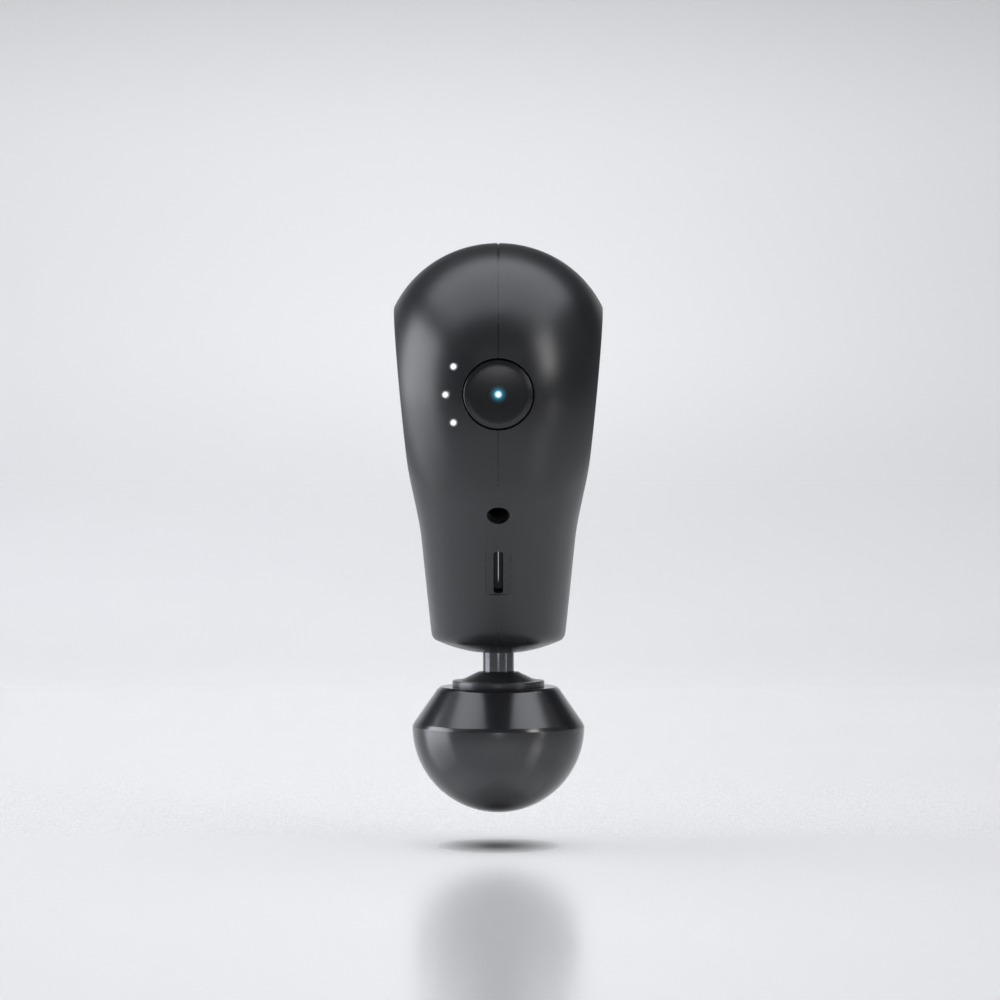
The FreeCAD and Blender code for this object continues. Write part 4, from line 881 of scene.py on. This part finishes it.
def flat_on_face(outline, sunk, level):
    """An outline in the plane of the front face, sunk by a depth."""
    sideways = outline[:, :1] * np.array([1.0, 0, 0])
    return face_spot(level) + sideways + outline[:, 1:] * FACE_UP - sunk * FACE_OUT


def slot_cutter(name, width, length, corner, rounding, deep, level):
    """A rounded slot cut square to the front face, with a lip that follows the crown."""
    outline = slot_outline(width, length, corner)
    wide = slot_outline(width + 1.6 * rounding, length + 1.6 * rounding, corner + rounding)
    rows = [on_face(0 * outline, -ABOVE, level), on_face(wide, -ABOVE, level)]
    for flare, sunk in lip_rows(0.0, rounding):
        rows.append(on_face(slot_outline(width + 2 * flare, length + 2 * flare, corner + flare), sunk, level))
    rows += [flat_on_face(outline * share, deep, level) for share in (1.0, 0.0)]
    return mesh_from(np.stack(rows), name)


def face_round_cutter(name, radius, rounding, deep, level, turns=72):
    """A round hole square to the front face."""
    ring = circle(turns)
    rows = [on_face(0 * ring, -ABOVE, level), on_face(ring * (radius + 0.9 * rounding), -ABOVE, level)]
    rows += [on_face(ring * (radius + flare), sunk, level) for flare, sunk in lip_rows(0.0, rounding)]
    rows += [on_face(ring * radius, deep, level), on_face(0 * ring, deep, level)]
    return mesh_from(np.stack(rows), name)


def nose_cutter(radius, rounding, turns=120):
    """A round plug up through the nose, with a lip that follows the dome."""
    ring = circle(turns)

    def level_ring(size, z):
        return np.concatenate([ring * size, np.full((turns, 1), float(z))], axis=1)

    rows = [level_ring(0, UNDER_NOSE), level_ring(radius + 0.9 * rounding, UNDER_NOSE)]
    for flare, sunk in lip_rows(0.0, rounding):
        edge = ring * (radius + flare)
        rows.append(np.concatenate([edge, (nose_height(edge[:, 0], edge[:, 1]) + sunk)[:, None]], axis=1))
    rows += [level_ring(radius, OVER_NOSE), level_ring(0, OVER_NOSE)]
    return mesh_from(np.stack(rows), "nose_cutter")


# %% [markdown]
# ## Cutting the holes
#
# Each hole is a little wider than what stands in it, so a hairline gap shows all round. The
# window has two: a shallow pad, and the slot through its middle.

# %% Cutting the holes
def carve(mesh, cutters, crisp=28):
    """A copy of a mesh with every cutter taken out of it, one after the other, by booleans."""
    body = linked("carved", mesh)
    tools = [linked(cutter.name, cutter) for cutter in cutters]
    for tool in tools:
        step = body.modifiers.new(tool.name, "BOOLEAN")
        step.operation = "DIFFERENCE"
        step.solver = "MANIFOLD"
        step.object = tool
    result = bpy.data.meshes.new_from_object(body.evaluated_get(bpy.context.evaluated_depsgraph_get()))
    for extra in [body, *tools]:
        bpy.data.objects.remove(extra)
    result.name = mesh.name + ".001"
    shade(result, crisp)
    return result


LIGHT_HOLE = 0.94
shared = [
    round_cutter("button_cutter", 0.0, BUTTON_LEVEL, 9.15, 0.22, -58.0),
    face_round_cutter("inlet_cutter", 2.9, 0.16, 8.0, 82.1),
    slot_cutter("pad_cutter", 6.6, 16.4, 1.2, 0.12, 0.22, WINDOW_LEVEL),
    slot_cutter("slot_cutter", 2.5, 15.4, 0.8, 0.14, 6.0, WINDOW_LEVEL),
    nose_cutter(7.2, 0.35),
]
light_cutters = [
    round_cutter(f"light_cutter_{int(turn)}", *light_place(turn), LIGHT_HOLE, 0.08, -52.0, turns=48)
    for turn in LIGHT_TURNS
]
add_piece(carve(right_mesh, shared), "housing", "right_shell", "casing")
add_piece(carve(left_mesh, shared + light_cutters), "housing", "left_shell", "casing")

# %% [markdown]
# ## Side covers
#
# A thin plate hides the screws on each side. It lies flush in its recess with a hairline gap
# round it, and only its edge is eased.

# %% Side cover plates
def cover_points():
    """The right cover's grid: back face, edge, easing, then the flat front."""
    edge = SIDE_OFFSET + COVER_MARGIN
    rim = side_rows(
        [edge, edge, edge + 0.02, edge + 0.07, edge + 0.16, edge + 0.4], [COVER_PLATE, 0.18, 0.08, 0.02, 0.0, 0.0]
    )
    start = closing_rows(rim[0], [1.0, 0.6, 0.25])
    end = closing_rows(rim[-1], [0.2, 0.45, 0.7, 1.0])
    return np.concatenate([start, rim, end])


for side, turned_by in (("right", 1.0), ("left", -1.0)):
    plate = mesh_from(cover_points() * np.array([turned_by, 1.0, 1.0]), f"{side}_cover_plate", crisp=40)
    add_piece(plate, "housing", f"{side}_side_cover", "side_cover")

# %% [markdown]
# ## Button and lens
#
# The button is one turned moulding: a shallow dish in the middle, a rounded crest at its rim
# and a ring that slopes back outside it. The crest takes a thin line of light where the slope
# turns. The lens is a clear pin with a slightly domed end, and fills the hole in the middle.

# %% Power button
RIM = -66.45  # front to back, as far forward as the crest comes
DISH = 0.45
CAP_FOOT = RIM + 3.6
CAP_BACK = RIM + 4.3
LENS_HOLE = 0.99
LENS_RADIUS = 0.97
dish_radius = np.linspace(LENS_HOLE, 7.2, 14)
dish = np.stack([dish_radius, RIM + DISH - 0.4 * (dish_radius / 7.3) ** 2], axis=1)
corners = [
    dish[-1], (7.32, RIM + 0.03), (7.45, RIM + 0.0), (8.62, RIM + 0.5), (8.85, RIM + 0.7), (8.85, CAP_FOOT),
    (9.65, CAP_FOOT), (9.65, CAP_BACK), (7.6, CAP_BACK), (7.6, RIM + 2.0), (2.2, RIM + 2.0), (2.2, RIM + 3.8),
    (LENS_HOLE, RIM + 3.8), dish[0],
]
radii = [0.05, 0.1, 0.14, 0.14, 0.1, 0.1, 0.1, 0.1, 0.3, 0.1, 0.1, 0.05]
cap = np.concatenate([dish[:-1], eased(corners, radii)])
swing = {"centre": (0, 0, BUTTON_LEVEL), "along": "y"}
turned_piece(cap, "button_cap", "power_button", "power_button_cap", "button", **swing)

sweep = np.linspace(0, 1, 8) * math.pi / 2
lens = np.stack([LENS_RADIUS * np.sin(sweep), RIM + DISH + 0.02 + 0.12 * (1 - np.cos(sweep))], axis=1)
lens = np.concatenate([lens, [(LENS_RADIUS, RIM + 3.65), (0.0, RIM + 3.7)]])
turned_piece(lens, "button_lens_pin", "power_button", "button_lens", "button_lens", turns=48, **swing)

# %% [markdown]
# ## The window
#
# The bar fills the slot from behind, held by a wider flange. Its front is slightly convex.


# %% Indicator window
def window_points():
    """Rings drawn in from the bar's edge to its middle line, then its side and its flange."""
    width, length, corner = 2.46, 15.36, 0.78
    front, behind, back = 1.24, 2.95, 3.7
    flange = slot_outline(5.6, 19.0, 1.0)
    rows = []
    for share in np.linspace(1.0, 0.0, 12):
        inset = share * (width / 2 - 0.002)
        outline = slot_outline(width - 2 * inset, length - 2 * inset, corner - inset)
        rows.append(flat_on_face(outline, front - 0.1 * math.sqrt(1 - (1 - share) ** 2), WINDOW_LEVEL))
    rows.append(flat_on_face(slot_outline(width, length, corner), behind, WINDOW_LEVEL))
    rows += [flat_on_face(flange, behind, WINDOW_LEVEL), flat_on_face(flange, back, WINDOW_LEVEL)]
    rows.append(flat_on_face(0 * flange, back, WINDOW_LEVEL))
    rows.insert(0, np.tile(rows[0].mean(axis=0), (len(flange), 1)))
    return np.stack(rows)


add_piece(mesh_from(window_points(), "window_bar", crisp=45), "housing", "indicator_window", "window")

# %% [markdown]
# ## Nose ring, wiper and shaft
#
# The ring trims the opening, the rubber wiper inside it keeps dust off the bearings, and the
# ground shaft runs through both.

# %% Nose and shaft
LOW = 44.3
HIGH = 46.9
SHAFT = 4.3
ring_corners = [(5.6, 45.6), (5.6, LOW), (7.1, LOW), (7.1, HIGH), (5.6, HIGH), (5.6, 45.6)]
ring_profile = eased(ring_corners, [0.25, 0.4, 0.1, 0.1])
turned_piece(ring_profile, "nose_trim_ring", "housing", "nose_ring", "trim_plastic")

wiper_corners = [
    (5.0, LOW + 0.3), (5.58, LOW + 0.3), (5.58, HIGH), (5.05, HIGH), (4.36, LOW + 0.75), (4.7, LOW + 0.3),
    (5.0, LOW + 0.3),
]
wiper_profile = eased(wiper_corners, [0.1, 0.1, 0.1, 0.12, 0.1])
turned_piece(wiper_profile, "wiper_lip", "housing", "wiper_seal", "seal_rubber")

shaft_corners = [
    (0, 20), (3.6, 20), (SHAFT, 20.7), (SHAFT, 25.3), (3.1, 25.3), (3.1, 26.7), (SHAFT, 26.7), (SHAFT, 50),
    (SHAFT, 84), (3.0, 84), (3.0, 90.8), (0, 90.8),
]
shaft_profile = eased(shaft_corners, [0.2, 0.2, 0.1, 0.1, 0.1, 0.1, 0, 0.2, 0.1, 0.2])
turned_piece(shaft_profile, "drive_shaft", "plunger", "plunger_shaft", "plunger_steel")

# %% [markdown]
# ## The massage head
#
# A moulded core with a conical collar pushes onto the shaft. The foam is a half ball below, a
# crease, and a cone that narrows to the flange above.

# %% Head core and foam
BALL = 23.77
SEAT = 34.7
core_corners = [
    (0, 16), (9, 16), (9, SEAT), (12.7, SEAT), (12.7, 36.35), (10.5, 36.35), (5.5, 38.8), (4.38, 38.8),
    (4.38, 19.6), (0, 19.6),
]
core_profile = eased(core_corners, [0.3, 0.0, 0.06, 0.28, 0.5, 0.45, 0.15, 0.1])
turned_piece(core_profile, "head_core_moulding", "massage_head", "head_core", "head_plastic")

half_ball = arc_points((0, BALL), BALL, -90, -3, 60)
upper = [
    half_ball[-1], (BALL, BALL + 0.05), (23.3, 24.75), (16.9, 34.0), (16.0, SEAT), (9.02, SEAT), (9.02, 15.9),
    (0, 15.9),
]
head_profile = np.concatenate([half_ball[:-1], eased(upper, [0.25, 1.7, 0.9, 0.5, 0.1, 0.2])])
turned_piece(head_profile, "round_foam_head", "massage_head", "head_ball", "head_foam", turns=220)

# %% [markdown]
# ## Finishes for the CAD meshes
#
# The inner parts keep their CAD meshes, and each one only gets its finish.

# %% Dressing the CAD parts
for part in frame["record"]["subparts"]:
    finish = lead_finishes.get(part["node"]) or finishes[part["material_slot"]]
    for held in frame["nodes"][part["node"]].material_slots:
        held.material = finish
print("dressed:", len(frame["nodes"]), "CAD nodes")

# %% [markdown]
# ## The set
#
# The tool hangs a little above a pale glossy floor that curves up into a backdrop. The floor
# and the backdrop are one sheet: a profile of floor, quarter circle and wall, drawn out along X.
# The floor mirrors more at a grazing angle, it has a little light of its own so that it stays
# pale, and a contact shadow is painted into it as a dark, dull disc that mirrors less. Painted
# shade makes the wall darker towards its top and away from its middle.

# %% Floor and backdrop
FLOOR = -9.4
BEND = 700.0
WALL_DEPTH = 1300.0
NEAR_END = 2600.0
TOP_END = 3200.0


def backdrop_points():
    """Rows of the sheet's profile (y, z) repeated at many places across."""
    bend = arc_points((WALL_DEPTH - BEND, FLOOR + BEND), BEND, -90, 0, 40)
    flat = np.stack([stops(60, -NEAR_END, WALL_DEPTH - BEND), np.full(60, FLOOR)], axis=1)
    wall = np.stack([np.full(20, WALL_DEPTH), np.linspace(FLOOR + BEND + 40, TOP_END, 20)], axis=1)
    profile = np.concatenate([flat, bend, wall])
    across = np.linspace(-NEAR_END, NEAR_END, 60)
    grid = np.empty((len(profile), len(across), 3))
    grid[..., 0] = across
    grid[..., 1:] = profile[:, None, :]
    return grid


grid = backdrop_points()
rows, columns, _ = grid.shape
open_faces = grid_faces(rows, columns).reshape(rows - 1, columns, 4)[:, :-1].reshape(-1, 4)
sheet = bpy.data.meshes.new("studio_sheet")
sheet.from_pydata((grid.reshape(-1, 3) * MM).tolist(), [], open_faces.tolist())
sheet.shade_smooth()
studio = linked("studio_sheet", sheet)

studio_finish, tree, shader, position = start_finish("studio sheet", IOR=1.9)
height = split(tree, position, "Z")
raised = ranged(tree, height, -0.009, 0.22)
# Painted shade: the wall is darkened towards its top and away from its middle, and its glow fades the same way.
high = ranged(tree, height, 0.32, 0.8)
middle = placed(tree, light_and_shade_disc, position, Centre=(0, 0, 0.1), Core=0.0, Reach=1.7)["Mask"]
laid = add(tree, "ShaderNodeMapping", {"Vector": position, "Rotation": ON_SIDE}).outputs[0]
# Painted contact shadow: a dark disc under the head, which is also made duller and mirrors less.
painted_shadow = placed(tree, light_and_shade_disc, laid, Centre=(0, 0, 0), Core=0.003, Reach=0.041)["Mask"]
shade_share = times(tree, painted_shadow, 0.9)

mist = placed(tree, patches, position, Scale=2.0)["Mask"]
colour = blended(tree, mist, tone(0.69, 0.69, 0.695), tone(0.715, 0.715, 0.72))
colour = blended(tree, raised, colour, blended(tree, middle, tone(0.50), tone(0.70)))
colour = blended(tree, shade_share, blended(tree, high, colour, tone(0.02)), tone(0.03))
# Painted light: the sheet's own glow, stronger in the wall's middle, and none at its top or in the painted shadow.
glow = blended(tree, raised, tone(0.12), blended(tree, middle, tone(0.05), tone(0.24)))
glow = blended(tree, maths(tree, "MAXIMUM", high, shade_share), glow, tone(0.0))
facing = add(tree, "ShaderNodeLayerWeight", {"Blend": 0.5}).outputs["Facing"]
mirror = times(tree, ranged(tree, facing, 0.5, 0.88, 0.0, 0.45), maths(tree, "SUBTRACT", 1.0, raised))
mirror = maths(tree, "SUBTRACT", mirror, shade_share, clamp=True)
fine = placed(tree, grain, position, Scale=900.0)["Speckle"]
dull = maths(tree, "MAXIMUM", painted_shadow, times(tree, raised, 0.6))
gloss = maths(tree, "MAXIMUM", ranged(tree, fine, 0.0, 1.0, 0.2, 0.23), dull)
shade_by(tree, shader, Base_Color=colour, Emission_Color=glow, Emission_Strength=1.0)
shade_by(tree, shader, Metallic=mirror, Roughness=gloss)
sheet.materials.append(studio_finish)
print("studio sheet:", len(sheet.polygons), "faces")

# %% [markdown]
# ## Light
#
# A dark satin object is drawn by what it mirrors. A wide overhead box makes the pale cap on the
# top of the casing, a tall box on the left makes the long soft lobe, and a smaller one on the
# right the short slanted one. Two small ones low down give the shaft its thin highlights. None
# shows to the camera, and the room is brighter for the camera than for the object.


# %% Lights
def area_light(name, place, aim, size, power, colour=(1.0, 1.0, 1.0)):
    """A rectangular light in metres at a place, turned to face a point."""
    lamp = bpy.data.lights.new(name, "AREA")
    lamp.shape = "RECTANGLE"
    lamp.size, lamp.size_y = size
    lamp.energy = power
    lamp.color = colour
    toward = np.array(aim, dtype=float) - np.array(place, dtype=float)
    turn = math.atan2(toward[0], -toward[1])
    drop = math.acos(-toward[2] / np.linalg.norm(toward))
    holder = linked(name, lamp)
    holder.location = place
    holder.rotation_euler = (drop, 0.0, turn + math.pi)
    holder.visible_camera = False


area_light("overhead_box", (0.0, 0.04, 1.3), (0.0, 0.04, 0.1), (2.4, 1.35), 22.0, (0.93, 0.95, 1.0))
area_light("left_box", (-1.2, 0.05, 0.43), (0.0, 0.05, 0.2), (1.0, 0.86), 13.4, (0.92, 0.94, 1.0))
area_light("right_box", (0.88, -0.62, 0.64), (0.0, 0.0, 0.12), (0.26, 0.6), 3.4)
area_light("right_spot", (0.6, -0.35, 0.03), (0.0, 0.0, 0.03), (0.06, 0.06), 0.06)
area_light("front_fill", (0.0, -1.6, 0.85), (0.0, 0.0, 0.12), (1.5, 0.7), 1.3)
area_light("front_strip", (0.0, -0.78, 0.012), (0.0, 0.0, 0.012), (0.17, 0.04), 0.08)

ROOM_FOR_OBJECT = 0.14
ROOM_FOR_CAMERA = 0.7
world = bpy.data.worlds.new("studio room")
world.use_nodes = True
bpy.context.scene.world = world
room = world.node_tree
seen = add(room, "ShaderNodeLightPath").outputs["Is Camera Ray"]
strength = ranged(room, seen, 0.0, 1.0, ROOM_FOR_OBJECT, ROOM_FOR_CAMERA, smooth=False)
feed(room, room.nodes["Background"].inputs, {"Color": tone(0.9, 0.92, 0.96), "Strength": strength})
print("lights:", [lamp.name for lamp in bpy.data.lights])

# %% [markdown]
# ## Camera
#
# A long lens looks straight at the front. The plain view transform keeps the pale room pale.

# %% Camera
eye = bpy.data.cameras.new("front_eye")
eye.lens = 100.0
eye.sensor_width = 36.0
camera = linked("front_eye", eye)
camera.location = (0.00044, -0.768, 0.0862)
camera.rotation_euler = (math.pi / 2, 0.0, 0.0)
bpy.context.scene.camera = camera
bpy.context.scene.view_settings.view_transform = "Standard"
